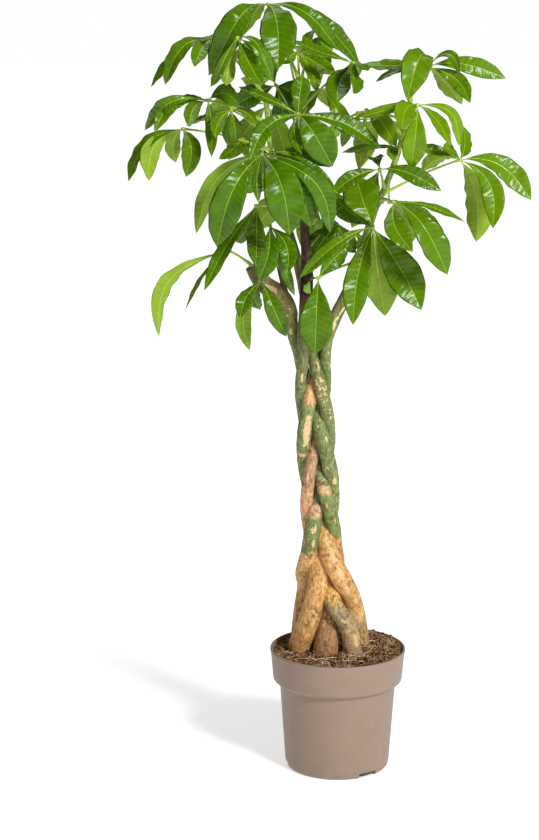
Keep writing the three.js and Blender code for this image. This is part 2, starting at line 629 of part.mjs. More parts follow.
    leaflets: [[-28, -40, -50, 24, 0, 0, -0.1], [-17, 20, -108, 24, 0, 0, 0.15],
      [39, -20, -80, 27, 10, 0.3, -0.05], [-3, 50, -51, 23, 0, 0.05, -0.1]],
  },
  {
    name: 'leaf_24_lower_middle',
    hub: [-103, -80, 858], facing: [0, -0.8, 0.6], stalk: ['left_side_shoot', 788], backward: [],
    leaflets: [[-16, -20, -77, 34, 0, 0.2, 0.1], [26, -40, -65, 28, 0, 0.05, 0.15],
      [36, 20, -106, 16, 0, 0.2, -0.05]],
  },
  {
    name: 'leaf_25_lower_front',
    hub: [-32, -90, 783], facing: [0, -0.8, 0.6], stalk: ['trunk_4_front_right', 800], backward: [],
    leaflets: [[-4, -20, -110, 50, 0, 0.15], [42, 15, 45, 31, 40, 0.1], [-12, 50, -30, 22]],
  },
  {
    name: 'leaf_26_lower_back',
    hub: [-10, 40, 851], facing: [0, -0.8, 0.6], stalk: ['trunk_1_middle', 812], backward: [3],
    leaflets: [[-37, -12, -59, 42, 15, 0.15, 0.05], [33, -10, -46, 27, 10, 0.15, -0.05],
      [-11, -60, -19, 24, 10], [-16, 55, -46, 30, 0, 0.2, 0.1]],
  },
  {
    name: 'leaf_27_behind_star',
    hub: [-29, 30, 1049], facing: [0, -0.8, 0.6], stalk: ['trunk_1_middle', 1012], backward: [2],
    leaflets: [[42, -10, -72, 26, 10, 0.2], [-29, -20, -35, 24, 10, 0.1, -0.1], [9, 60, -28, 28]],
  },
  {
    name: 'leaf_28_left_back',
    hub: [-148, 28, 976], facing: [0, -0.8, 0.6], stalk: ['trunk_3_back_left', 940], backward: [],
    leaflets: [[-35, -10, -29, 16, 15, 0, 0.05], [12, -20, -30, 21, 0, 0.1, 0.05], [28, 20, -56, 32, 15]],
  },
  {
    name: 'leaf_29_back_crown',
    hub: [-85, 150, 1113], facing: [0.1, 0.3, 0.9], stalk: ['trunk_1_middle', 1028], backward: [],
    leaflets: rosette([0.1, 0.3, 0.9], 5, 105, 40),
  },
  {
    name: 'leaf_30_back_left',
    hub: [-115, 150, 1020], facing: [0.1, 0.9, 0.5], stalk: ['trunk_3_back_left', 990], backward: [],
    leaflets: rosette([0.1, 0.9, 0.5], 5, 105, 40),
  },
  {
    name: 'leaf_31_back_right',
    hub: [50, 120, 1000], facing: [0, 0.4, 0.9], stalk: ['trunk_5_back_right', 955], backward: [],
    leaflets: rosette([0, 0.4, 0.9], 5, 105, 10),
  },
  {
    name: 'leaf_32_back_middle',
    hub: [-50, 125, 895], facing: [0, 0.9, 0.5], stalk: ['trunk_1_middle', 900], backward: [],
    leaflets: rosette([0, 0.9, 0.5], 5, 115, 60),
  },
  {
    name: 'leaf_33_back_far_right',
    hub: [75, 100, 875], facing: [0.2, 0.2, 0.9], stalk: ['trunk_5_back_right', 926], backward: [],
    leaflets: rosette([0.2, 0.2, 0.9], 5, 110, 15),
  },
  {
    name: 'leaf_34_back_lower_left',
    hub: [-168, 127, 902], facing: [-0.9, 0.2, 0.5], stalk: ['trunk_3_back_left', 890], backward: [],
    leaflets: rosette([-0.9, 0.2, 0.5], 5, 120, 30),
  },
  {
    name: 'leaf_35_back_lower_right',
    hub: [20, 120, 820], facing: [0.5, 0.2, 0.8], stalk: ['trunk_5_back_right', 830], backward: [],
    leaflets: rosette([0.5, 0.2, 0.8], 5, 120, 30),
  },
];

// Stalk: rises from inside its trunk and bends over to the hub
function stalkCurve(foot, hub, facing) {
  const span = foot.distanceTo(hub);
  const bend = foot.clone().lerp(hub, PETIOLE_BEND_AT);
  bend.z += PETIOLE_RISE * span;
  bend.addScaledVector(facing, -PETIOLE_BACK * span);
  return new THREE.QuadraticBezierCurve3(foot, bend, hub);
}

function makeLeaf(leaf, number, stemsByName) {
  const hub = new THREE.Vector3(...leaf.hub);
  const facing = new THREE.Vector3(...leaf.facing).normalize();
  const [stemName, height] = leaf.stalk;
  const owner = stemsByName.get(stemName);
  const foot = pointAtHeight(owner.curve, height);
  const girth = (share) => THREE.MathUtils.lerp(PETIOLE_FOOT_RADIUS, PETIOLE_TIP_RADIUS, share);
  const knob = new THREE.OctahedronGeometry(HUB_RADIUS);
  knob.translate(hub.x, hub.y, hub.z);
  const stalk = tubeAlong(stalkCurve(foot, hub, facing), girth, PETIOLE_SIDES, PETIOLE_STEPS);
  const solids = [solidFrom(stalk), solidFrom(knob)];
  const mirrored = new THREE.Vector3(facing.x, -facing.y, facing.z);
  leaf.leaflets.forEach((leaflet, i) => {
    const faces = leaf.backward.includes(i) ? mirrored : facing;
    solids.push(leafletBlade(hub, faces, leaflet, LEAF_PHASE * number + LEAFLET_PHASE * i));
  });
  return join(solids).subtract(owner.grown);
}

const plant = new THREE.Group();
const stems = new Map();
const grownTrunks = [];
for (const trunk of TRUNKS) {
  const curve = trunkCurve(trunk);
  const shoots = SIDE_SHOOTS.filter((shoot) => shoot.trunk === trunk.name);
  const shootCurves = shoots.map((shoot) => shootCurve(shoot, curve));
  const grown = makeTrunk(trunk, curve, shootCurves, GAP);
  let solid = makeTrunk(trunk, curve, shootCurves, 0);
  if (grownTrunks.length > 0) {
    solid = solid.subtract(join(grownTrunks));
  }
  grownTrunks.push(grown);
  stems.set(trunk.name, { curve, grown });
  shoots.forEach((shoot, i) => stems.set(shoot.name, { curve: shootCurves[i], grown }));
  plant.add(pieceMesh(trunk.name, solid, trunkBark));
}
const holder = new THREE.Group();
holder.add(pieceMesh('pot', makePot(), potPlastic));
holder.add(pieceMesh('soil', makeSoil(join(grownTrunks)), peatSoil));
LEAVES.forEach((leaf, number) => {
  plant.add(pieceMesh(leaf.name, makeLeaf(leaf, number, stems), leafGreen));
});

const group = new THREE.Group();
group.add(holder, plant);

export default group;
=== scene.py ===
# %% [markdown]
# # A braided money tree in its nursery pot
#
# The plant is a potted money tree: five young trunks that were plaited together while they were soft,
# standing in peat in a plastic nursery pot, with hand-shaped leaves on long thin stalks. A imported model
# holds the true places and sizes. This script dresses it: each piece is built again as a finer mesh of the
# same form, and gets a surface that follows the real material.

import itertools
import math

import bpy
import numpy as np
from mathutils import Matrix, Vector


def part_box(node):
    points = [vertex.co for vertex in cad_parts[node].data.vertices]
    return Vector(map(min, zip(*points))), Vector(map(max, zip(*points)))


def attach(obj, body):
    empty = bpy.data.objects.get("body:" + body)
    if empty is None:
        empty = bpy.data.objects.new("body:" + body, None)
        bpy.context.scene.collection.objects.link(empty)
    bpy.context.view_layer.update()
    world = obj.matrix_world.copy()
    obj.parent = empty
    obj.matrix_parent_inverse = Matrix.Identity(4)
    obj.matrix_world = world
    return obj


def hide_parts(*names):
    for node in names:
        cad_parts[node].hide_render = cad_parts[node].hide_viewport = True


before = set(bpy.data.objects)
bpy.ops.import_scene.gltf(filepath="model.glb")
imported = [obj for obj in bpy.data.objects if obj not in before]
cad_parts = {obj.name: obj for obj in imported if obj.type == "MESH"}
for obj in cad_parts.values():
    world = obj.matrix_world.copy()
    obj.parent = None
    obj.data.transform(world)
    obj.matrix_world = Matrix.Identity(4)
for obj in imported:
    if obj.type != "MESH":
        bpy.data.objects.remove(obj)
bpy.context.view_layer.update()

# %% [markdown]
# A grower would measure this plant in millimetres, so the lists below do too. One factor turns them to
# metres where Blender needs them.
#
# Colours are written as a painter would pick them from a screen, in sRGB. Blender mixes light in linear
# values, so one function turns each hex value to linear.

# %% Millimetres and colours
MM = 0.001


def linear(colour):
    """The linear RGB of an sRGB hex colour."""
    shares = np.array([int(colour[i:i + 2], 16) for i in (1, 3, 5)]) / 255
    return np.where(shares <= 0.04045, shares / 12.92, ((shares + 0.055) / 1.055) ** 2.4)


def rgba(colour):
    return (*linear(colour), 1.0)


print("mid leaf green in linear values:", np.round(linear("#4F8A0E"), 3))

# %% [markdown]
# The camera stands where the photographer stood: about 3.1 m in front of the pot at chest height, with a
# long lens that looks a little down and a little to the left. The long lens keeps the pot's ellipses flat.
# The sensor is fitted to the tall side of the picture.

# %% Camera
CAMERA_PLACE = (0, -3.145, 1.202)
CAMERA_PITCH = math.radians(11.68)
CAMERA_TURN = math.radians(1.94)
LENS = 90.04
SENSOR = 36

camera_data = bpy.data.cameras.new("long lens")
camera_data.sensor_fit = "VERTICAL"
camera_data.sensor_height = SENSOR
camera_data.lens = LENS
camera = bpy.data.objects.new("camera", camera_data)
camera.location = CAMERA_PLACE
camera.rotation_euler = (math.pi / 2 - CAMERA_PITCH, 0, CAMERA_TURN)
bpy.context.scene.collection.objects.link(camera)
bpy.context.scene.camera = camera
print("camera", CAMERA_PLACE, "with a", LENS, "mm lens")

# %% [markdown]
# A material is a small tree of nodes. Writing each node by hand takes four lines, so one function adds a
# node with its properties, and another feeds its inputs. There a node or one of its outputs becomes a link,
# and any other value is set on the socket. A node given whole feeds its first output in use, such as the
# result of a mix or the plain value of a noise.

# %% Nodes and a soft random pattern
def feed(tree, node, inputs):
    """Sets or links a node's inputs, from a socket's name or number to a value, a node or its output."""
    for name, value in inputs.items():
        if isinstance(value, bpy.types.Node):
            value = next(output for output in value.outputs if output.enabled)
        if isinstance(value, bpy.types.NodeSocket):
            tree.links.new(value, node.inputs[name])
        else:
            node.inputs[name].default_value = value


def add_node(tree, kind, inputs=None, **settings):
    node = tree.nodes.new(kind)
    for name, value in settings.items():
        setattr(node, name, value)
    feed(tree, node, inputs or {})
    return node


# A Mix node has sockets for every kind of value, so its colour sockets are reached by number
SHARE, FIRST, SECOND = 0, 6, 7
# The soft noise repeats after this many grains, too far apart to be seen as a pattern
NOISE_CELLS = 32


def new_material(name, values):
    """A material with one Principled shader, with the values that are the same all over its surface."""
    material = bpy.data.materials.new(name)
    material.use_nodes = True
    tree = material.node_tree
    shader = tree.nodes["Principled BSDF"]
    feed(tree, shader, values)
    return material, tree, shader


def smooth_noise(places, grain, seed):
    """Soft random values from -1 to 1 over places in space, which change over a distance of one grain."""
    lattice = np.random.default_rng(seed).uniform(-1, 1, (NOISE_CELLS, NOISE_CELLS, NOISE_CELLS))
    cells = places / grain
    base = np.floor(cells).astype(int)
    blend = cells - base
    blend = blend * blend * (3 - 2 * blend)
    total = np.zeros(places.shape[:-1])
    for corner in np.ndindex(2, 2, 2):
        x, y, z = np.moveaxis((base + corner) % NOISE_CELLS, -1, 0)
        weight = np.where(np.array(corner, bool), blend, 1 - blend).prod(axis=-1)
        total += weight * lattice[x, y, z]
    return total


sample = smooth_noise(np.random.default_rng(1).uniform(0, 90, (1000, 3)), 10, 1)
print("soft noise runs from", round(sample.min(), 2), "to", round(sample.max(), 2))

# %% [markdown]
# Every piece of the plant is either a grid of points or a tube of rings. Both are quick to make as arrays,
# and arrays can be bent, waved and given relief before Blender sees them. A part is kept as a small record
# of its points, its faces, which of the piece's materials each face takes, and any values that the
# materials read at each point. Several parts are then joined into one mesh.

# %% Parts and pieces
def part(points, faces, finishes=0, **marks):
    """Points in millimetres, faces as tuples, their material numbers, and values kept at each point."""
    points = np.asarray(points, float).reshape(-1, 3)
    marks = {name: np.broadcast_to(value, len(points)) for name, value in marks.items()}
    finishes = np.broadcast_to(finishes, len(faces)).tolist()
    return {"points": points, "faces": faces, "finishes": finishes, "marks": marks}


def make_piece(name, parts, materials, nodes, tint=None):
    """Joins the parts into one mesh that rides on the plant and stands for the CAD nodes."""
    points = np.concatenate([one["points"] for one in parts]) * MM
    faces = []
    finishes = []
    start = 0
    for one in parts:
        faces += [tuple(start + corner for corner in face) for face in one["faces"]]
        finishes += one["finishes"]
        start += len(one["points"])
    mesh = bpy.data.meshes.new(name)
    mesh.from_pydata(points.tolist(), [], faces)
    mesh.polygons.foreach_set("material_index", finishes)
    mesh.polygons.foreach_set("use_smooth", [True] * len(faces))
    for material in materials:
        mesh.materials.append(material)
    for mark in parts[0]["marks"]:
        values = np.concatenate([one["marks"][mark] for one in parts])
        mesh.attributes.new(mark, "FLOAT", "POINT").data.foreach_set("value", values)
    if tint is not None:
        colours = np.concatenate([tint, np.ones((len(tint), 1))], axis=1)
        mesh.attributes.new("tint", "FLOAT_COLOR", "POINT").data.foreach_set("color", colours.ravel())
    piece = bpy.data.objects.new(name, mesh)
    bpy.context.scene.collection.objects.link(piece)
    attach(piece, "root")
    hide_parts(*nodes)
    return piece


def unit(vectors):
    return vectors / np.linalg.norm(vectors, axis=-1, keepdims=True)


def tube(centres, radii, sides):
    """Rings round a line of centres: the ring points, the way each lies from its centre, and the faces."""
    tangents = unit(np.gradient(centres, axis=0))
    across = np.eye(3)[np.argmin(np.abs(tangents[0]))]
    rights = []
    for tangent in tangents:
        across = unit(across - tangent * across.dot(tangent))
        rights.append(across)
    rights = np.array(rights)[:, None]
    aheads = np.cross(tangents[:, None], rights)
    angles = np.linspace(0, 2 * np.pi, sides, endpoint=False)[None, :, None]
    spokes = rights * np.cos(angles) + aheads * np.sin(angles)
    rings = centres[:, None] + spokes * np.asarray(radii, float)[:, None, None]
    return rings, spokes, tube_faces(len(centres), sides)


def tube_faces(rows, sides):
    """Quads between the rings, and a fan from one more point at each end."""
    faces = []
    for row in range(rows - 1):
        for side in range(sides):
            after = (side + 1) % sides
            low, high = row * sides, (row + 1) * sides
            faces.append((low + side, low + after, high + after, high + side))
    foot, tip = rows * sides, rows * sides + 1
    last = (rows - 1) * sides
    for side in range(sides):
        after = (side + 1) % sides
        faces.append((foot, after, side))
        faces.append((tip, last + side, last + after))
    return faces


def with_ends(rings, centres):
    """The ring points, followed by the middle of the first and the last ring."""
    return np.concatenate([rings.reshape(-1, 3), centres[:1], centres[-1:]])


straight = np.linspace((0, 0, 0), (0, 0, 10), 3)
test_rings, _, test_faces = tube(straight, np.ones(3), 6)
print("a test tube has", test_rings.size // 3, "ring points and", len(test_faces), "faces")

# %% [markdown]
# The pot is injection-moulded polypropylene in taupe, the kind of thin pot that growers buy by the pallet.
# Its wall steps out to a collar so that empty pots stack, and a small lip stiffens the rim. It could be
# modelled from a cylinder with loops pushed in and out. Turning a profile is closer to how its mould was
# made, and keeps the wall's thickness true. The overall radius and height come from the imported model.

# %% Pot dimensions
pot_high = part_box("pot")[1]
RIM_RADIUS = pot_high.x / MM
POT_HEIGHT = pot_high.z / MM
POT_WALL = 1.8
LIP_HEIGHT = 5
LIP_THICKNESS = 3.2
RIM_CHAMFER = 1
COLLAR_TOP_RADIUS = RIM_RADIUS - 0.9
COLLAR_FOOT_RADIUS = 100.6
COLLAR_FOOT_HEIGHT = 142
BODY_TOP_RADIUS = 90.3
BODY_TOP_HEIGHT = 136
BODY_FOOT_RADIUS = 81.7
BODY_FOOT_HEIGHT = 12
FOOT_RADIUS = 77.5
FOOT_BEVEL_WIDTH = 2.6
FOOT_BEVEL_HEIGHT = 3
COLLAR_CHAMFER = 1.5
INNER_STEP_RISE = 1
INNER_CHAMFER = 2
CORNER_ROUNDING = 1.6
# A rounded corner takes at most this share of each side beside it
CORNER_MOST = 0.4
CHANNEL_HEIGHT = 8
CHANNEL_SLANT = 2
CHANNEL_INNER_RADIUS = 44
CHANNEL_OUTER_RADIUS = 68
NOTCH_WIDTH = 32
NOTCH_DEPTH = 30
NOTCH_COUNT = 3
FIRST_NOTCH_ANGLE = math.radians(-53)
DRAIN_HOLE_COUNT = 6
DRAIN_HOLE_RADIUS = 6
DRAIN_HOLE_SIDES = 24
POT_SIDES = 192
print("pot:", round(2 * RIM_RADIUS, 1), "mm across the rim,", round(POT_HEIGHT, 1), "mm tall")

# %% [markdown]
# Moulded plastic has no sharp edge anywhere, because melt doesn't fill one. Each corner of the profile is
# cut back and rounded with a short curve before it is turned.

# %% Turn the pot
def rounded(profile, reach, steps=4):
    """The profile with each inner corner replaced by a curve that starts one reach, or less, before it."""
    profile = [np.array(point, float) for point in profile]
    smooth = [profile[0]]
    for before, corner, after in zip(profile, profile[1:], profile[2:]):
        start = corner + (before - corner) * min(CORNER_MOST, reach / np.linalg.norm(before - corner))
        end = corner + (after - corner) * min(CORNER_MOST, reach / np.linalg.norm(after - corner))
        for share in np.linspace(0, 1, steps):
            smooth.append((1 - share) ** 2 * start + 2 * share * (1 - share) * corner + share ** 2 * end)
    smooth.append(profile[-1])
    return smooth


def turned(profile, sides):
    """A closed form turned about the pot's axis. The profile starts and ends on the axis."""
    inner = np.array(profile[1:-1])
    angles = np.linspace(0, 2 * np.pi, sides, endpoint=False)
    radii = inner[:, 0][:, None]
    heights = np.broadcast_to(inner[:, 1][:, None], (len(inner), sides))
    rings = np.stack([radii * np.cos(angles), radii * np.sin(angles), heights], axis=-1)
    ends = np.array([(0, 0, profile[0][1]), (0, 0, profile[-1][1])])
    return part(np.concatenate([rings.reshape(-1, 3), ends]), tube_faces(len(inner), sides))


CHANNEL_FLOOR = CHANNEL_HEIGHT + POT_WALL
pot_profile = [
    (0, 0),
    (CHANNEL_INNER_RADIUS, 0),
    (CHANNEL_INNER_RADIUS + CHANNEL_SLANT, CHANNEL_HEIGHT),
    (CHANNEL_OUTER_RADIUS - CHANNEL_SLANT, CHANNEL_HEIGHT),
    (CHANNEL_OUTER_RADIUS, 0),
    (FOOT_RADIUS, 0),
    (FOOT_RADIUS + FOOT_BEVEL_WIDTH, FOOT_BEVEL_HEIGHT),
    (BODY_FOOT_RADIUS, BODY_FOOT_HEIGHT),
    (BODY_TOP_RADIUS, BODY_TOP_HEIGHT),
    (COLLAR_FOOT_RADIUS - COLLAR_CHAMFER, COLLAR_FOOT_HEIGHT - COLLAR_CHAMFER),
    (COLLAR_FOOT_RADIUS, COLLAR_FOOT_HEIGHT),
    (COLLAR_TOP_RADIUS, POT_HEIGHT - LIP_HEIGHT - RIM_CHAMFER),
    (RIM_RADIUS, POT_HEIGHT - LIP_HEIGHT),
    (RIM_RADIUS, POT_HEIGHT - RIM_CHAMFER),
    (RIM_RADIUS - RIM_CHAMFER, POT_HEIGHT),
    (RIM_RADIUS - LIP_THICKNESS, POT_HEIGHT),
    (COLLAR_TOP_RADIUS - 2 * POT_WALL, POT_HEIGHT - LIP_HEIGHT),
    (COLLAR_FOOT_RADIUS - POT_WALL, COLLAR_FOOT_HEIGHT + INNER_STEP_RISE),
    (BODY_TOP_RADIUS - POT_WALL, BODY_TOP_HEIGHT + INNER_STEP_RISE),
    (BODY_FOOT_RADIUS - POT_WALL, CHANNEL_FLOOR + INNER_CHAMFER),
    (BODY_FOOT_RADIUS - POT_WALL - INNER_CHAMFER, CHANNEL_FLOOR),
    (CHANNEL_INNER_RADIUS + CHANNEL_SLANT, CHANNEL_FLOOR),
    (CHANNEL_INNER_RADIUS, POT_WALL),
    (0, POT_WALL),
]
pot_shell = turned(rounded(pot_profile, CORNER_ROUNDING), POT_SIDES)
print("pot profile has", len(pot_profile), "corners, turned in", POT_SIDES, "steps")

# %% [markdown]
# The plastic scatters light a little below its surface, so it looks soft and even. Its surface is slightly
# grained by the spark-eroded mould. A grain of 0.4 mm is too fine to show from here, so it is drawn at
# 1.2 mm. Handling leaves faint clouds of dust and a few dark peat specks, mostly near the foot.

# %% Taupe polypropylene
def taupe_polypropylene():
    material, tree, shader = new_material("taupe moulded polypropylene", {
        "Roughness": 0.5, "IOR": 1.49, "Specular IOR Level": 0.35})
    places = add_node(tree, "ShaderNodeTexCoord").outputs["Object"]
    cloud = add_node(tree, "ShaderNodeTexNoise", {"Vector": places, "Scale": 1 / (45 * MM), "Detail": 4})
    plastic = add_node(tree, "ShaderNodeMix", {
        SHARE: cloud, FIRST: rgba("#8C786A"), SECOND: rgba("#998474")}, data_type="RGBA")
    dust = add_node(tree, "ShaderNodeTexNoise", {"Vector": places, "Scale": 1 / (9 * MM), "Detail": 6})
    dusty = add_node(tree, "ShaderNodeMapRange", {
        "Value": dust, "From Min": 0.56, "From Max": 0.8, "To Max": 0.16})
    dusted = add_node(tree, "ShaderNodeMix", {
        SHARE: dusty, FIRST: plastic, SECOND: rgba("#C4B29E")}, data_type="RGBA")
    cells = add_node(tree, "ShaderNodeTexVoronoi", {"Vector": places, "Scale": 1 / (11 * MM)})
    speck = add_node(tree, "ShaderNodeMapRange", {"Value": cells, "From Min": 0.13, "From Max": 0.08})
    height = add_node(tree, "ShaderNodeSeparateXYZ", {"Vector": places})
    low = add_node(tree, "ShaderNodeMapRange", {
        "Value": height.outputs["Z"], "From Min": 45 * MM, "From Max": 8 * MM, "To Max": 0.8})
    specks = add_node(tree, "ShaderNodeMath", {0: speck, 1: low}, operation="MULTIPLY")
    specked = add_node(tree, "ShaderNodeMix", {
        SHARE: specks, FIRST: dusted, SECOND: rgba("#5E4A3C")}, data_type="RGBA")
    grain = add_node(tree, "ShaderNodeTexNoise", {"Vector": places, "Scale": 1 / (1.2 * MM)})
    bump = add_node(tree, "ShaderNodeBump", {"Height": grain, "Strength": 0.1, "Distance": 0.2 * MM})
    feed(tree, shader, {"Base Color": specked, "Normal": bump})
    return material


pot = make_piece("nursery_pot", [pot_shell], [taupe_polypropylene()], ["pot"])
print("pot mesh:", len(pot.data.polygons), "faces")

# %% [markdown]
# The mould leaves three shallow notches in the foot ring, so that water can run out, and round drain holes
# in the raised channel inside it. They are cut with Boolean modifiers, which are then applied: the cutters
# are plain boxes and cylinders, and the result stays one closed mesh.

# %% Cut the notches and drain holes
def cutter(name, size, reach, angle, height, sides=None):
    """A box, or a cylinder if sides is given, at a distance and an angle from the pot's axis."""
    if sides:
        bpy.ops.mesh.primitive_cylinder_add(vertices=sides, radius=size[0] / 2 * MM, depth=size[2] * MM)
    else:
        bpy.ops.mesh.primitive_cube_add(size=1)
        bpy.context.object.scale = [side * MM for side in size]
    tool = bpy.context.object
    tool.name = name
    tool.location = (reach * math.cos(angle) * MM, reach * math.sin(angle) * MM, height * MM)
    tool.rotation_euler = (0, 0, angle)
    return tool


cutters = []
for i in range(NOTCH_COUNT):
    notch_angle = FIRST_NOTCH_ANGLE + i * 2 * math.pi / NOTCH_COUNT
    notch_reach = CHANNEL_OUTER_RADIUS - POT_WALL + NOTCH_DEPTH / 2
    notch_size = (NOTCH_DEPTH, NOTCH_WIDTH, 2 * CHANNEL_HEIGHT)
    cutters.append(cutter("notch", notch_size, notch_reach, notch_angle, 0))
for i in range(DRAIN_HOLE_COUNT):
    hole_angle = FIRST_NOTCH_ANGLE + (i + 0.5) * 2 * math.pi / DRAIN_HOLE_COUNT
    hole_reach = (CHANNEL_INNER_RADIUS + CHANNEL_OUTER_RADIUS) / 2
    hole_size = (2 * DRAIN_HOLE_RADIUS, 2 * DRAIN_HOLE_RADIUS, 3 * POT_WALL)
    hole_height = CHANNEL_HEIGHT + POT_WALL / 2
    cutters.append(cutter("hole", hole_size, hole_reach, hole_angle, hole_height, DRAIN_HOLE_SIDES))
for tool in cutters:
    cut = pot.modifiers.new("cut", "BOOLEAN")
    cut.object = tool
    cut.solver = "EXACT"
cut_mesh = bpy.data.meshes.new_from_object(pot.evaluated_get(bpy.context.evaluated_depsgraph_get()))
pot.modifiers.clear()
pot.data = cut_mesh
for tool in cutters:
    bpy.data.objects.remove(tool)
print("pot after", len(cutters), "cuts:", len(pot.data.polygons), "faces")

# %% [markdown]
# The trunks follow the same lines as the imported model. A five-strand plait is regular enough to be a
# formula: seen from the front each strand swings from side to side, and seen from above it follows a flat
# figure of eight, a fifth of a turn behind the strand before it. Below and above the plait each trunk has
# its own few points, and a smooth curve joins them all.

# %% Plait dimensions
PLAIT_PITCH = 440
FIRST_CROSSING = 257
STRAND_COUNT = 5
PLAIT_WIDE = 34
PLAIT_NARROW = 20
PLAIT_WIDE_HEIGHT = 282
PLAIT_NARROW_HEIGHT = 358
PLAIT_FOOT_X = -16
PLAIT_LEAN = -0.056
PLAIT_TOP = 655
PLAIT_STEP = 20
ROOT_HEIGHT = 185
ROOT_SWELL_HEIGHT = 250
STUB_FOOT_HEIGHT = 705
STUB_FULL_HEIGHT = 748
STRAND_FOOT_HEIGHT = 95
CURVE_STEPS = 24
FEWEST_RINGS = 4
# Height and radius of a trunk of girth 1
TRUNK_GIRTH = [
    (95, 14), (190, 16), (266, 15), (362, 13), (450, 11),
    (600, 9.4), (700, 9), (770, 8), (880, 4.6), (1070, 3),
]


def smooth_step(start, end, value):
    share = np.clip((value - start) / (end - start), 0, 1)
    return share * share * (3 - 2 * share)


def plait_point(order, height):
    crossing = FIRST_CROSSING + order * PLAIT_PITCH / STRAND_COUNT
    turn = 2 * math.pi * (height - crossing) / PLAIT_PITCH
    narrowing = smooth_step(PLAIT_WIDE_HEIGHT, PLAIT_NARROW_HEIGHT, height)
    reach = PLAIT_WIDE + (PLAIT_NARROW - PLAIT_WIDE) * narrowing
    middle = PLAIT_FOOT_X + PLAIT_LEAN * (height - ROOT_HEIGHT)
    return (middle + reach * math.sin(turn), reach * math.sin(2 * turn), height)


def trunk_radius(heights):
    return np.interp(heights, *zip(*TRUNK_GIRTH))


def smooth_line(points, spacing):
    """A smooth curve through the points, a centripetal Catmull-Rom one, as places one spacing apart."""
    points = np.array(points, float)
    points = np.concatenate([[2 * points[0] - points[1]], points, [2 * points[-1] - points[-2]]])
    line = []
    shares = np.linspace(0, 1, CURVE_STEPS, endpoint=False)[:, None]
    for before, start, end, after in zip(points, points[1:], points[2:], points[3:]):
        spans = ((before, start), (start, end), (end, after))
        gaps = [max(np.linalg.norm(b - a) ** 0.5, 1e-4) for a, b in spans]
        leave = (start - before) / gaps[0] - (end - before) / (gaps[0] + gaps[1]) + (end - start) / gaps[1]
        arrive = (end - start) / gaps[1] - (after - start) / (gaps[1] + gaps[2]) + (after - end) / gaps[2]
        leave, arrive = leave * gaps[1], arrive * gaps[1]
        line.append(start + leave * shares + (3 * (end - start) - 2 * leave - arrive) * shares ** 2
            + (2 * (start - end) + leave + arrive) * shares ** 3)
    line = np.concatenate([*line, points[-2:-1]])
    gone = np.concatenate([[0], np.cumsum(np.linalg.norm(np.diff(line, axis=0), axis=1))])
    stops = np.linspace(0, gone[-1], max(FEWEST_RINGS, int(gone[-1] / spacing)))
    return np.stack([np.interp(stops, gone, line[:, axis]) for axis in range(3)], axis=1)


print("the strands cross every", PLAIT_PITCH / STRAND_COUNT, "mm")

# %% [markdown]
# Each trunk has its own bark history. The lowest wood is old enough to have cork, which is orange-tan; the
# plait above it is still green, and the youngest stems are green or maroon. The list gives the colour that
# each trunk has at a few heights: two heights close together make a sharp edge. Pale scars show where old
# leaves and ties came off. Each is given by its height, the direction in degrees that it looks to, its
# length and its width. The places of foot and branch are points of the trunk's line, across, ahead and up.

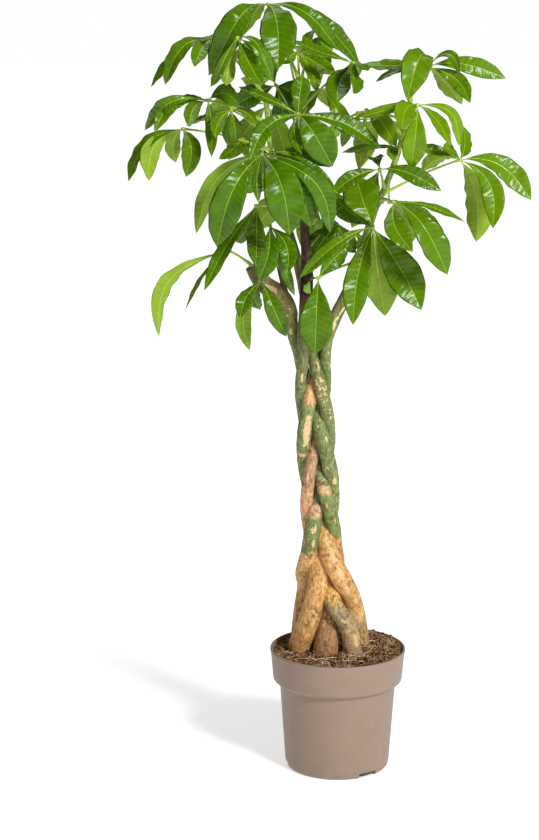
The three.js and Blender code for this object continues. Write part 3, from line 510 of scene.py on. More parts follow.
# %% The five trunks
TRUNKS = {
    "trunk_1_middle": {
        "order": 0, "plait_from": 262, "girth": 0.92, "swell": 0.36, "stub": 0.3,
        "foot": [(-19, -14, 185), (-15, -12, 220)],
        "branch": [(-55, -14, 700), (-51, -8, 745), (-51, 2, 805), (-55, 6, 860), (-60, 5, 960),
            (-62, 0, 1068)],
        "bark": [(185, "#B08458"), (235, "#9E744C"), (262, "#A87C4C"), (366, "#C2925E"), (373, "#737D45"),
            (440, "#7E8A4E"), (441, "#C4A076"), (453, "#CAA67C"), (454, "#788456"), (700, "#6E7444"),
            (735, "#5A3A2C"), (760, "#2A1412"), (830, "#33201A"), (930, "#5A6030"), (1068, "#86A040")],
        "scars": [(400, -60, 14, 3), (424, -100, 9, 3), (622, -80, 16, 4), (560, -120, 10, 3)],
    },
    "trunk_2_left": {
        "order": 1, "plait_from": 335, "girth": 1.08, "swell": 0.04, "stub": 0.6,
        "foot": [(-59, 4, 185), (-50, -6, 220), (-38, -15, 260), (-31, -18, 300)],
        "branch": [(-72, 6, 690), (-76, 0, 722), (-94, -12, 748), (-116, -20, 766), (-130, -24, 792)],
        "bark": [(185, "#CC9C5C"), (230, "#CA9C5E"), (330, "#D2A064"), (398, "#CA9A60"), (408, "#7A8650"),
            (575, "#74804A"), (640, "#7E8A4E"), (700, "#70743F"), (742, "#74693C"), (792, "#6E6A3C")],
        "scars": [(238, -70, 10, 7), (300, -60, 12, 8), (460, -60, 12, 8), (528, -60, 12, 4),
            (640, -110, 14, 5), (690, -100, 12, 6), (738, -110, 20, 6), (758, -70, 16, 5)],
    },
    "trunk_3_back_left": {
        "order": 2, "plait_from": 282, "girth": 1, "swell": 0, "stub": 0,
        "foot": [(-58, 36, 185), (-55, 34, 235)],
        "branch": [(-48, 26, 705), (-60, 38, 770), (-84, 40, 860), (-104, 30, 950), (-114, 16, 1045)],
        "bark": [(185, "#B68C58"), (250, "#C4965E"), (346, "#CC9E64"), (351, "#66743F"), (400, "#6E7C48"),
            (408, "#CCA880"), (420, "#C6A078"), (424, "#728460"), (470, "#788A66"), (560, "#74804A"),
            (705, "#6E7440"), (860, "#6E7A3C"), (1045, "#86A040")],
        "scars": [(365, -70, 20, 6), (388, -85, 10, 12), (560, -60, 10, 4), (600, -70, 18, 3),
            (640, -60, 12, 4)],
    },
    "trunk_4_front_right": {
        "order": 3, "plait_from": 262, "girth": 0.87, "swell": 0.1, "stub": 0.1,
        "foot": [(24, -22, 185), (15, -22, 232)],
        "branch": [(-16, -16, 690), (-8, -18, 715), (8, -22, 745), (20, -28, 775), (28, -32, 803)],
        "bark": [(185, "#B0906A"), (215, "#B4946A"), (262, "#9C8A68"), (276, "#CEA458"), (330, "#CA9C6C"),
            (440, "#CE9E74"), (456, "#A67E5C"), (500, "#B68E6C"), (528, "#C69A74"), (548, "#7C8452"),
            (600, "#64793E"), (690, "#6A7544"), (760, "#7A7646"), (803, "#6E6A3C")],
        "scars": [(212, -60, 22, 9), (243, -80, 12, 7), (470, -100, 16, 4), (600, -90, 10, 3),
            (706, -60, 22, 7), (724, -50, 14, 6)],
    },
    "trunk_5_back_right": {
        "order": 4, "plait_from": 300, "girth": 1.1, "swell": -0.12, "stub": 0,
        "foot": [(35, 24, 185), (29, 18, 225), (20, 10, 264)],
        "branch": [(-10, 24, 700), (22, 22, 770), (50, 8, 870), (64, 2, 903), (80, -5, 945), (95, -8, 1000),
            (106, -10, 1066)],
        "bark": [(185, "#C69C60"), (222, "#B29468"), (250, "#CC9C5E"), (330, "#CE9E62"), (402, "#CA985C"),
            (418, "#7E8A4E"), (540, "#74804A"), (575, "#788450"), (584, "#CBA070"), (622, "#D0A676"),
            (632, "#7C8A4E"), (700, "#6C7444"), (870, "#6C8A36"), (1066, "#8FAE40")],
        "scars": [(292, -70, 26, 9), (318, -75, 26, 8), (345, -80, 26, 9), (366, -85, 14, 8),
            (268, -50, 14, 6), (500, -80, 10, 26), (540, -70, 60, 13), (600, -90, 10, 6)],
    },
}
SIDE_SHOOT = {"trunk": "trunk_2_left", "height": 722, "points": [(-84, -16, 758), (-92, -28, 792)]}
SHOOT_FOOT_RADIUS = 5.5
SHOOT_TAPER = 2
SHOOT_SIDES = 20
SHOOT_COLOUR = "#4A2A22"
RING_SPACING = 2.2


def trunk_line(trunk, spacing):
    foot_x, foot_y, _ = trunk["foot"][0]
    buried = (foot_x, foot_y, STRAND_FOOT_HEIGHT)
    heights = range(trunk["plait_from"], PLAIT_TOP + 1, PLAIT_STEP)
    plait = [plait_point(trunk["order"], height) for height in heights]
    return smooth_line([buried, *trunk["foot"], *plait, *trunk["branch"]], spacing)


def point_at_height(line, height):
    return np.array([np.interp(height, line[:, 2], line[:, axis]) for axis in range(3)])


lines = {name: trunk_line(trunk, RING_SPACING) for name, trunk in TRUNKS.items()}
shoot_foot = point_at_height(lines[SIDE_SHOOT["trunk"]], SIDE_SHOOT["height"])
lines["left_side_shoot"] = smooth_line([shoot_foot, *SIDE_SHOOT["points"]], RING_SPACING)
for name, line in lines.items():
    print(name, "reaches", round(line[-1, 2]), "mm in", len(line), "rings")

# %% [markdown]
# Bark this young is thin and smooth, with low swellings, fine lengthwise cracks and a shallow ring at each
# old leaf. All of that is moved into the rings themselves, so it shows at the outline too. The edges
# between old and young bark wander a little, because each point looks up its colour at a height that soft
# noise has shifted. Scars stand out slightly. Each point also keeps how likely a scar is there, and the
# material draws the ragged edge.

# %% Grow the trunks
TRUNK_SIDES = 44
SWELLING = 0.045
SWELLING_GRAIN = 26
SWELLING_SEED = 40
CRACK_DEPTH = 0.22
CRACK_GRAIN = 2.6
CRACK_STRETCH = 0.25
CRACK_SEED = 50
# How far the edges between two colours of bark wander, and over which distances
EDGE_WANDER = [(3.5, 7), (1.5, 2.5)]
TINT_SEED = 60
SEEDS_PER_TRUNK = 5
NODE_RING_GAP = 47
NODE_RING_SHIFT = 13
NODE_RING_WIDTH = 1.6
NODE_RING_RISE = 0.5
NODE_RINGS_START = (380, 430)
NODE_SCAR = 0.34
SCAR_STRENGTH = 0.66
SCAR_EDGE = (0.2, 1.8)
SCAR_RISE = 0.35
SCARS_FADE_OUT = (680, 730)
PATCH_SHARE = 0.5
PATCH_GRAIN = 30
SMALL_SCAR_COUNT = 18
SMALL_SCAR_START = 370
SMALL_SCARS_BELOW_TIP = 60
SMALL_SCAR_SEED = 70
SMALL_SCAR_LENGTH = (2, 5)
SMALL_SCAR_WIDTH = (2, 8)


def node_distance(heights, order):
    """How far each height is from the nearest ring that an old leaf left, in millimetres."""
    return np.abs((heights + NODE_RING_SHIFT * order) % NODE_RING_GAP - NODE_RING_GAP / 2)


def bark_relief(rings, radii, order):
    """How far each ring point stands out from a plain round trunk, in millimetres."""
    heights = rings[..., 2]
    lumps = SWELLING * radii * smooth_noise(rings, SWELLING_GRAIN, SWELLING_SEED + order)
    cracks = CRACK_DEPTH * smooth_noise(rings * (1, 1, CRACK_STRETCH), CRACK_GRAIN, CRACK_SEED + order)
    nodes = NODE_RING_RISE * np.exp(-(node_distance(heights, order) / NODE_RING_WIDTH) ** 2)
    return lumps + cracks + nodes * smooth_step(*NODE_RINGS_START, heights)


def bark_tint(rings, centres, bark, scars, order):
    """The colour of the bark at each ring point, as linear RGB, and how likely a scar is there."""
    seed = TINT_SEED + SEEDS_PER_TRUNK * order
    wander = sum(reach * smooth_noise(rings, grain, seed + i)
        for i, (reach, grain) in enumerate(EDGE_WANDER))
    levels = rings[..., 2] + wander
    stops = [height for height, _ in bark]
    tones = np.array([linear(colour) for _, colour in bark])
    tint = np.stack([np.interp(levels, stops, tones[:, band]) for band in range(3)], axis=-1)
    spokes = rings - centres[:, None]
    azimuth = np.degrees(np.arctan2(spokes[..., 1], spokes[..., 0]))
    radii = np.linalg.norm(spokes, axis=-1)
    near = node_distance(rings[..., 2], order)
    patches = PATCH_SHARE * smooth_noise(rings, PATCH_GRAIN, seed + 2)
    scar = np.maximum(patches, NODE_SCAR * np.exp(-(near / NODE_RING_WIDTH) ** 2))
    scar = np.maximum(scar, 0) * (1 - smooth_step(*SCARS_FADE_OUT, rings[..., 2]))
    for height, looks_to, length, width in scars:
        along = (levels - height) / (length / 2)
        around = np.radians((azimuth - looks_to + 180) % 360 - 180) * radii / (width / 2)
        scar = np.maximum(scar, SCAR_STRENGTH * (1 - smooth_step(*SCAR_EDGE, along ** 2 + around ** 2)))
    return tint, scar


def scattered_scars(bark, seed):
    """Small scars at random places along the green bark."""
    draw = np.random.default_rng(seed)
    top = bark[-1][0] - SMALL_SCARS_BELOW_TIP
    ranges = ((SMALL_SCAR_START, top), (-180, 180), SMALL_SCAR_LENGTH, SMALL_SCAR_WIDTH)
    return [tuple(draw.uniform(*span) for span in ranges) for _ in range(SMALL_SCAR_COUNT)]


def grow_trunk(line, trunk):
    heights = line[:, 2]
    swell = trunk["swell"] * (1 - smooth_step(ROOT_HEIGHT, ROOT_SWELL_HEIGHT, heights))
    stub = trunk["stub"] * smooth_step(STUB_FOOT_HEIGHT, STUB_FULL_HEIGHT, heights)
    radii = trunk["girth"] * trunk_radius(heights) * (1 + swell + stub)
    rings, spokes, faces = tube(line, radii, TRUNK_SIDES)
    order = trunk["order"]
    rings = rings + spokes * bark_relief(rings, radii[:, None], order)[..., None]
    scars = trunk["scars"] + scattered_scars(trunk["bark"], SMALL_SCAR_SEED + order)
    tint, scar = bark_tint(rings, line, trunk["bark"], scars, order)
    rings = rings + spokes * SCAR_RISE * scar[..., None]
    tint = np.concatenate([tint.reshape(-1, 3), tint[0, :1], tint[-1, :1]])
    scar = np.concatenate([scar.ravel(), (0, 0)])
    return part(with_ends(rings, line), faces, scar=scar), tint

# %% [markdown]
# Young bark of this tree is a smooth skin over green tissue, and turns to thin cork with age. The mesh
# carries its broad colour at each point. The material adds what is finer: streaks along the grain, clouds
# of grey-brown cork that come and go, small dark pores, and a slight roughness that takes the shine off.
# Where the mesh says that a scar is likely, flakes of pale dry skin cover the bark. Real pores are about
# 1 mm wide. They are drawn at the size that the picture can still show.

# %% Young bark
def young_bark():
    material, tree, shader = new_material("young bark, green skin turning to cork", {
        "Roughness": 0.62, "IOR": 1.45, "Specular IOR Level": 0.3})
    tint = add_node(tree, "ShaderNodeAttribute", attribute_name="tint")
    places = add_node(tree, "ShaderNodeTexCoord").outputs["Object"]
    grain = add_node(tree, "ShaderNodeMapping", {"Vector": places, "Scale": (1, 1, 0.3)})
    streaks = add_node(tree, "ShaderNodeTexNoise", {"Vector": grain, "Scale": 1 / (3 * MM), "Detail": 5})
    shade = add_node(tree, "ShaderNodeMapRange", {
        "Value": streaks, "From Min": 0.3, "From Max": 0.7, "To Min": 0.6, "To Max": 1.5})
    streaked = add_node(tree, "ShaderNodeMix", {
        SHARE: 1.0, FIRST: tint, SECOND: shade}, data_type="RGBA", blend_type="MULTIPLY")
    clouds = add_node(tree, "ShaderNodeTexNoise", {"Vector": places, "Scale": 1 / (6 * MM), "Detail": 6})
    ageing = add_node(tree, "ShaderNodeTexNoise", {"Vector": places, "Scale": 1 / (26 * MM), "Detail": 2})
    aged = add_node(tree, "ShaderNodeMapRange", {
        "Value": ageing, "From Min": 0.35, "From Max": 0.65, "To Min": 0.15, "To Max": 0.85})
    cloudy = add_node(tree, "ShaderNodeMapRange", {
        "Value": clouds, "From Min": 0.48, "From Max": 0.62, "To Max": aged})
    clouded = add_node(tree, "ShaderNodeMix", {
        SHARE: cloudy, FIRST: streaked, SECOND: rgba("#5E4A2E")}, data_type="RGBA")
    cells = add_node(tree, "ShaderNodeTexVoronoi", {"Vector": grain, "Scale": 1 / (4.5 * MM)})
    pore = add_node(tree, "ShaderNodeMapRange", {
        "Value": cells, "From Min": 0.2, "From Max": 0.12, "To Max": 0.45})
    pored = add_node(tree, "ShaderNodeMix", {
        SHARE: pore, FIRST: clouded, SECOND: rgba("#4E3620")}, data_type="RGBA")
    scar = add_node(tree, "ShaderNodeAttribute", attribute_name="scar")
    flakes = add_node(tree, "ShaderNodeTexNoise", {"Vector": places, "Scale": 1 / (4 * MM), "Detail": 6})
    ragged = add_node(tree, "ShaderNodeMath", {
        0: flakes, 1: 1.6, 2: scar.outputs["Fac"]}, operation="MULTIPLY_ADD")
    flaked = add_node(tree, "ShaderNodeMapRange", {
        "Value": ragged, "From Min": 1.22, "From Max": 1.3, "To Max": 0.85})
    scarred = add_node(tree, "ShaderNodeMix", {
        SHARE: flaked, FIRST: pored, SECOND: rgba("#DCBC8C")}, data_type="RGBA")
    bump = add_node(tree, "ShaderNodeBump", {"Height": streaks, "Strength": 0.35, "Distance": 0.5 * MM})
    feed(tree, shader, {"Base Color": scarred, "Normal": bump})
    return material


def grow_shoot(line):
    """The young maroon side shoot, a plain tapering tube without scars."""
    radii = SHOOT_FOOT_RADIUS - SHOOT_TAPER * np.linspace(0, 1, len(line))
    rings, _, faces = tube(line, radii, SHOOT_SIDES)
    points = with_ends(rings, line)
    return part(points, faces, scar=0), np.repeat([linear(SHOOT_COLOUR)], len(points), axis=0)


bark = young_bark()
for name, trunk in TRUNKS.items():
    grown = [grow_trunk(lines[name], trunk)]
    if name == SIDE_SHOOT["trunk"]:
        grown.append(grow_shoot(lines["left_side_shoot"]))
    parts, tints = zip(*grown)
    piece = make_piece(name + "_wood", parts, [bark], [name], np.concatenate(tints))
    print(piece.name, "has", len(piece.data.polygons), "faces")

# %% [markdown]
# The pot is filled with peat and coir: dark crumbs with pale fibres in them. A flat disc with a picture of
# soil would look painted from the side, so the surface has its own lumps, and loose crumbs and fibres lie
# on it as real forms. The filling stands a little higher at the back and at the right, as in the real pot.
#
# Most fibres are thin and short. The few long ones are drawn a few times as thick as real coir, because
# thinner ones wouldn't show in the picture. A small tuft of them stands up near the rim at the right.

# %% Peat dimensions
SOIL_EDGE_HEIGHT = 186
SOIL_MOUND = 1.5
SOIL_BACK_RISE = 3
SOIL_RIGHT_RISE = 4
SOIL_LUMP = 1.6
LUMP_WAVES = [(5, 6), (9, -4)]
# Height, grain and random seed of each fine relief in the peat
PEAT_CRUMBLE = [(1.9, 8, 11), (1.3, 3.4, 12)]
SOIL_GAP = 0.3
SOIL_EDGE_RADIUS = COLLAR_TOP_RADIUS - 3 * POT_WALL
SOIL_RINGS = 90
SOIL_SIDES = 280
PEAT_INSET = 2 * SOIL_GAP
PEAT_SHADE = 0.35
PEAT_SHADE_CHANGE = 0.3
PEAT_SHADE_GRAIN = 5
PEAT_SHADE_SEED = 13
SCATTER_SEED = 5
CRUMB_COUNT = 2300
CRUMB_EDGE = 2
SMALL_CRUMB = (0.7, 1.5)
LARGE_CRUMB = (1.6, 3.8)
SMALL_CRUMB_SHARE = 0.8
CRUMB_DENTS = (0.65, 1.35)
CRUMB_SQUASH = 0.8
CRUMB_RAISE = 0.35
FIBRE_BEND = 1.2
FIBRE_RAISE = 0.8
FIBRE_POINTS = 6
FIBRE_SIDES = 4
FINE_FIBRE = (0.22, 0.42)
THICK_FIBRE = (0.5, 0.8)
# How many fibres, how far they keep from the edge, and the least and most length, lift and radius
FIBRE_KINDS = [
    (330, 9, (5, 17), (0, 3), FINE_FIBRE),
    (34, 24, (22, 38), (2, 7), THICK_FIBRE),
]
TUFT_COUNT = 16
TUFT_REACH = (80, 85)
TUFT_TURN = (0.0, 0.3)
TUFT_LENGTH = (8, 14)
TUFT_LIFT = (5, 10)
# Neighbouring points of the ball are 1.05 radii apart, and the next nearest are 1.7
NEIGHBOUR_REACH = 1.1


def soil_height(x, y):
    """The height of the peat at a place, with its fine crumbly relief."""
    share = np.clip(np.hypot(x, y) / SOIL_EDGE_RADIUS, 0, 1)
    mound = SOIL_MOUND * (1 - share ** 2)
    slope = (SOIL_BACK_RISE * y + SOIL_RIGHT_RISE * x) / BODY_TOP_RADIUS
    lumps = SOIL_LUMP * sum(np.sin(x / a + y / b) for a, b in LUMP_WAVES) * (1 - share ** 2)
    places = np.stack([x, y, np.zeros_like(x)], axis=-1)
    crumbly = sum(rise * smooth_noise(places, grain, seed) for rise, grain, seed in PEAT_CRUMBLE)
    return SOIL_EDGE_HEIGHT + mound + slope + lumps + crumbly


def peat_body():
    floor = CHANNEL_FLOOR + SOIL_GAP
    wall = POT_WALL + PEAT_INSET
    profile = [
        (0, POT_WALL + SOIL_GAP),
        (CHANNEL_INNER_RADIUS - PEAT_INSET, POT_WALL + SOIL_GAP),
        (CHANNEL_INNER_RADIUS + CHANNEL_SLANT - PEAT_INSET, floor),
        (BODY_FOOT_RADIUS - wall - INNER_CHAMFER, floor),
        (BODY_TOP_RADIUS - wall, BODY_TOP_HEIGHT + INNER_STEP_RISE),
        (COLLAR_FOOT_RADIUS - wall, COLLAR_FOOT_HEIGHT + INNER_STEP_RISE),
    ]
    profile += [(SOIL_EDGE_RADIUS * share, SOIL_EDGE_HEIGHT) for share in np.linspace(1, 0, SOIL_RINGS)]
    body = turned(profile, SOIL_SIDES)
    points = body["points"]
    top = points[:, 2] > SOIL_EDGE_HEIGHT - SOIL_GAP
    points[top, 2] = soil_height(points[top, 0], points[top, 1])
    return body


def icosahedron():
    """The points and faces of a ball of 20 triangles, radius 1."""
    golden = (1 + 5 ** 0.5) / 2
    points = [(a, b * golden, 0) for a in (-1, 1) for b in (-1, 1)]
    points += [(0, a, b * golden) for a in (-1, 1) for b in (-1, 1)]
    points += [(b * golden, 0, a) for a in (-1, 1) for b in (-1, 1)]
    points = unit(np.array(points, float))
    near = np.linalg.norm(points[:, None] - points[None], axis=-1) < NEIGHBOUR_REACH
    faces = []
    for a, b, c in itertools.combinations(range(len(points)), 3):
        if near[a, b] and near[b, c] and near[a, c]:
            out = np.dot(np.cross(points[b] - points[a], points[c] - points[a]), points[a])
            faces.append((a, b, c) if out > 0 else (a, c, b))
    return points, faces


ball_points, ball_faces = icosahedron()
print("peat stands up to", round(float(soil_height(np.zeros(1), np.zeros(1))[0])), "mm high")

# %% [markdown]
# A crumb is a ball of 20 triangles with its corners pushed in and out at random. A fibre is a thin bent
# tube that lies on the peat. The random draw is seeded, so the pot is filled the same way each time.

# %% Scatter crumbs and fibres
def crumbs(draw):
    parts = []
    for _ in range(CRUMB_COUNT):
        reach = (SOIL_EDGE_RADIUS - CRUMB_EDGE) * math.sqrt(draw.random())
        angle = draw.uniform(0, 2 * math.pi)
        small = draw.random() < SMALL_CRUMB_SHARE
        size = draw.uniform(*(SMALL_CRUMB if small else LARGE_CRUMB))
        x, y = reach * math.cos(angle), reach * math.sin(angle)
        z = soil_height(np.array([x]), np.array([y]))[0] + CRUMB_RAISE * size
        dented = ball_points * size * draw.uniform(*CRUMB_DENTS, (len(ball_points), 1))
        points = dented * (1, 1, CRUMB_SQUASH) + (x, y, z)
        parts.append(part(points, ball_faces, shade=draw.uniform(0, 1)))
    return parts


def fibre(draw, reach, angle, lengths, lifts, radii):
    """A bent fibre whose middle lies at a place. One of its ends rises off the peat by the lift."""
    length = draw.uniform(*lengths)
    lift = draw.uniform(*lifts)
    heading = draw.uniform(0, 2 * math.pi)
    bend = draw.uniform(-FIBRE_BEND, FIBRE_BEND)
    steps = np.linspace(-0.5, 0.5, FIBRE_POINTS)
    headings = heading + bend * steps
    x = reach * math.cos(angle) + length * steps * np.cos(headings)
    y = reach * math.sin(angle) + length * steps * np.sin(headings)
    z = soil_height(x, y) + FIBRE_RAISE + lift * (steps + 0.5) ** 2
    line = np.stack([x, y, z], axis=1)
    rings, _, faces = tube(line, np.full(FIBRE_POINTS, draw.uniform(*radii)), FIBRE_SIDES)
    return part(with_ends(rings, line), faces, 1, shade=draw.uniform(0, 1))


def fibres(draw):
    parts = []
    for count, edge, *ranges in FIBRE_KINDS:
        for _ in range(count):
            reach = (SOIL_EDGE_RADIUS - edge) * math.sqrt(draw.random())
            parts.append(fibre(draw, reach, draw.uniform(0, 2 * math.pi), *ranges))
    for _ in range(TUFT_COUNT):
        reach = draw.uniform(*TUFT_REACH)
        parts.append(fibre(draw, reach, draw.uniform(*TUFT_TURN), TUFT_LENGTH, TUFT_LIFT, FINE_FIBRE))
    return parts

# %% [markdown]
# Peat takes up light like felt: it is dark, rough and never glossy. Damp crumbs are nearly black, and dry
# ones are a warm brown. Coir fibre is the husk of coconuts, and is straw-coloured.

# %% Peat and coir
def shaded(name, dark, light, grain_mm, roughness):
    """A rough natural material between two colours, varied from crumb to crumb and along each of them."""
    material, tree, shader = new_material(name, {"Roughness": roughness, "Specular IOR Level": 0.15})
    shade = add_node(tree, "ShaderNodeAttribute", attribute_name="shade")
    places = add_node(tree, "ShaderNodeTexCoord").outputs["Object"]
    noise = add_node(tree, "ShaderNodeTexNoise", {
        "Vector": places, "Scale": 1 / (grain_mm * MM), "Detail": 4})
    spread = add_node(tree, "ShaderNodeMapRange", {
        "Value": noise, "From Min": 0.35, "From Max": 0.65, "To Min": -0.45, "To Max": 0.45})
    share = add_node(tree, "ShaderNodeMath", {0: shade.outputs["Fac"], 1: spread},
        operation="ADD", use_clamp=True)
    colour = add_node(tree, "ShaderNodeMix", {
        SHARE: share, FIRST: rgba(dark), SECOND: rgba(light)}, data_type="RGBA")
    bump = add_node(tree, "ShaderNodeBump", {"Height": noise, "Strength": 0.5, "Distance": 0.6 * MM})
    feed(tree, shader, {"Base Color": colour, "Normal": bump})
    return material


peat = shaded("damp peat", "#26150A", "#A8805A", 2.5, 0.95)
coir = shaded("coir fibre", "#B08C5C", "#F0DCB4", 4, 0.8)
draw = np.random.default_rng(SCATTER_SEED)
body = peat_body()
body_noise = smooth_noise(body["points"], PEAT_SHADE_GRAIN, PEAT_SHADE_SEED)
body["marks"]["shade"] = PEAT_SHADE + PEAT_SHADE_CHANGE * body_noise
scattered = [*crumbs(draw), *fibres(draw)]
soil = make_piece("peat_and_coir", [body, *scattered], [peat, coir], ["soil"])
print("soil has", len(scattered), "crumbs and fibres, and", len(soil.data.polygons), "faces")

# %% [markdown]
# A leaf of this tree is a hand of pointed leaflets on one long stalk. Each leaf is listed by where its hub
# is, which way it faces, which stem its stalk leaves and how high, and how young it is, because young
# leaves are a lighter olive. Each leaflet has its reach from hub to tip and its width, and may have a turn
# about its rib, in degrees, and a bow and a sideways sweep of its own, as shares of its length. Leaflets
# that show their undersides are listed as backward. The leaves at the back are even rosettes, worked out by
# a rule from a length and a turn.

# %% Leaf list
ROSETTE_COUNT = 5
ROSETTE_SPREAD = 300
ROSETTE_SHORTEST = 0.72
ROSETTE_DROOP = 0.45
ROSETTE_WIDTH_SHARE = 0.36


def rosette(facing, count, length, turn):
    """Leaflets fanned evenly round the way a leaf faces, drooping, longest in the middle."""
    axis = unit(np.array(facing, float))
    side = unit(np.cross((0, 0, 1), axis))
    down = -np.cross(side, axis)
    leaflets = []
    for i in range(count):
        share = (i + 0.5) / count
        angle = math.radians(turn + ROSETTE_SPREAD * (share - 0.5))
        reach = ROSETTE_SHORTEST + (1 - ROSETTE_SHORTEST) * math.sin(math.pi * share)
        tip = unit(-math.cos(angle) * down + math.sin(angle) * side - ROSETTE_DROOP * axis) * length * reach
        leaflets.append((*tip, ROSETTE_WIDTH_SHARE * length * reach, 0))
    return leaflets


def leaf(hub, facing, stem, height, youth, leaflets, backward=()):
    """A leaf's hub, the way it faces, where its stalk leaves its stem, its youth, and its leaflets."""
    return {"hub": hub, "facing": facing, "stem": stem, "height": height, "youth": youth,
        "leaflets": leaflets, "backward": backward}


def back_leaf(hub, facing, stem, height, youth, length, turn):
    return leaf(hub, facing, stem, height, youth, rosette(facing, ROSETTE_COUNT, length, turn))


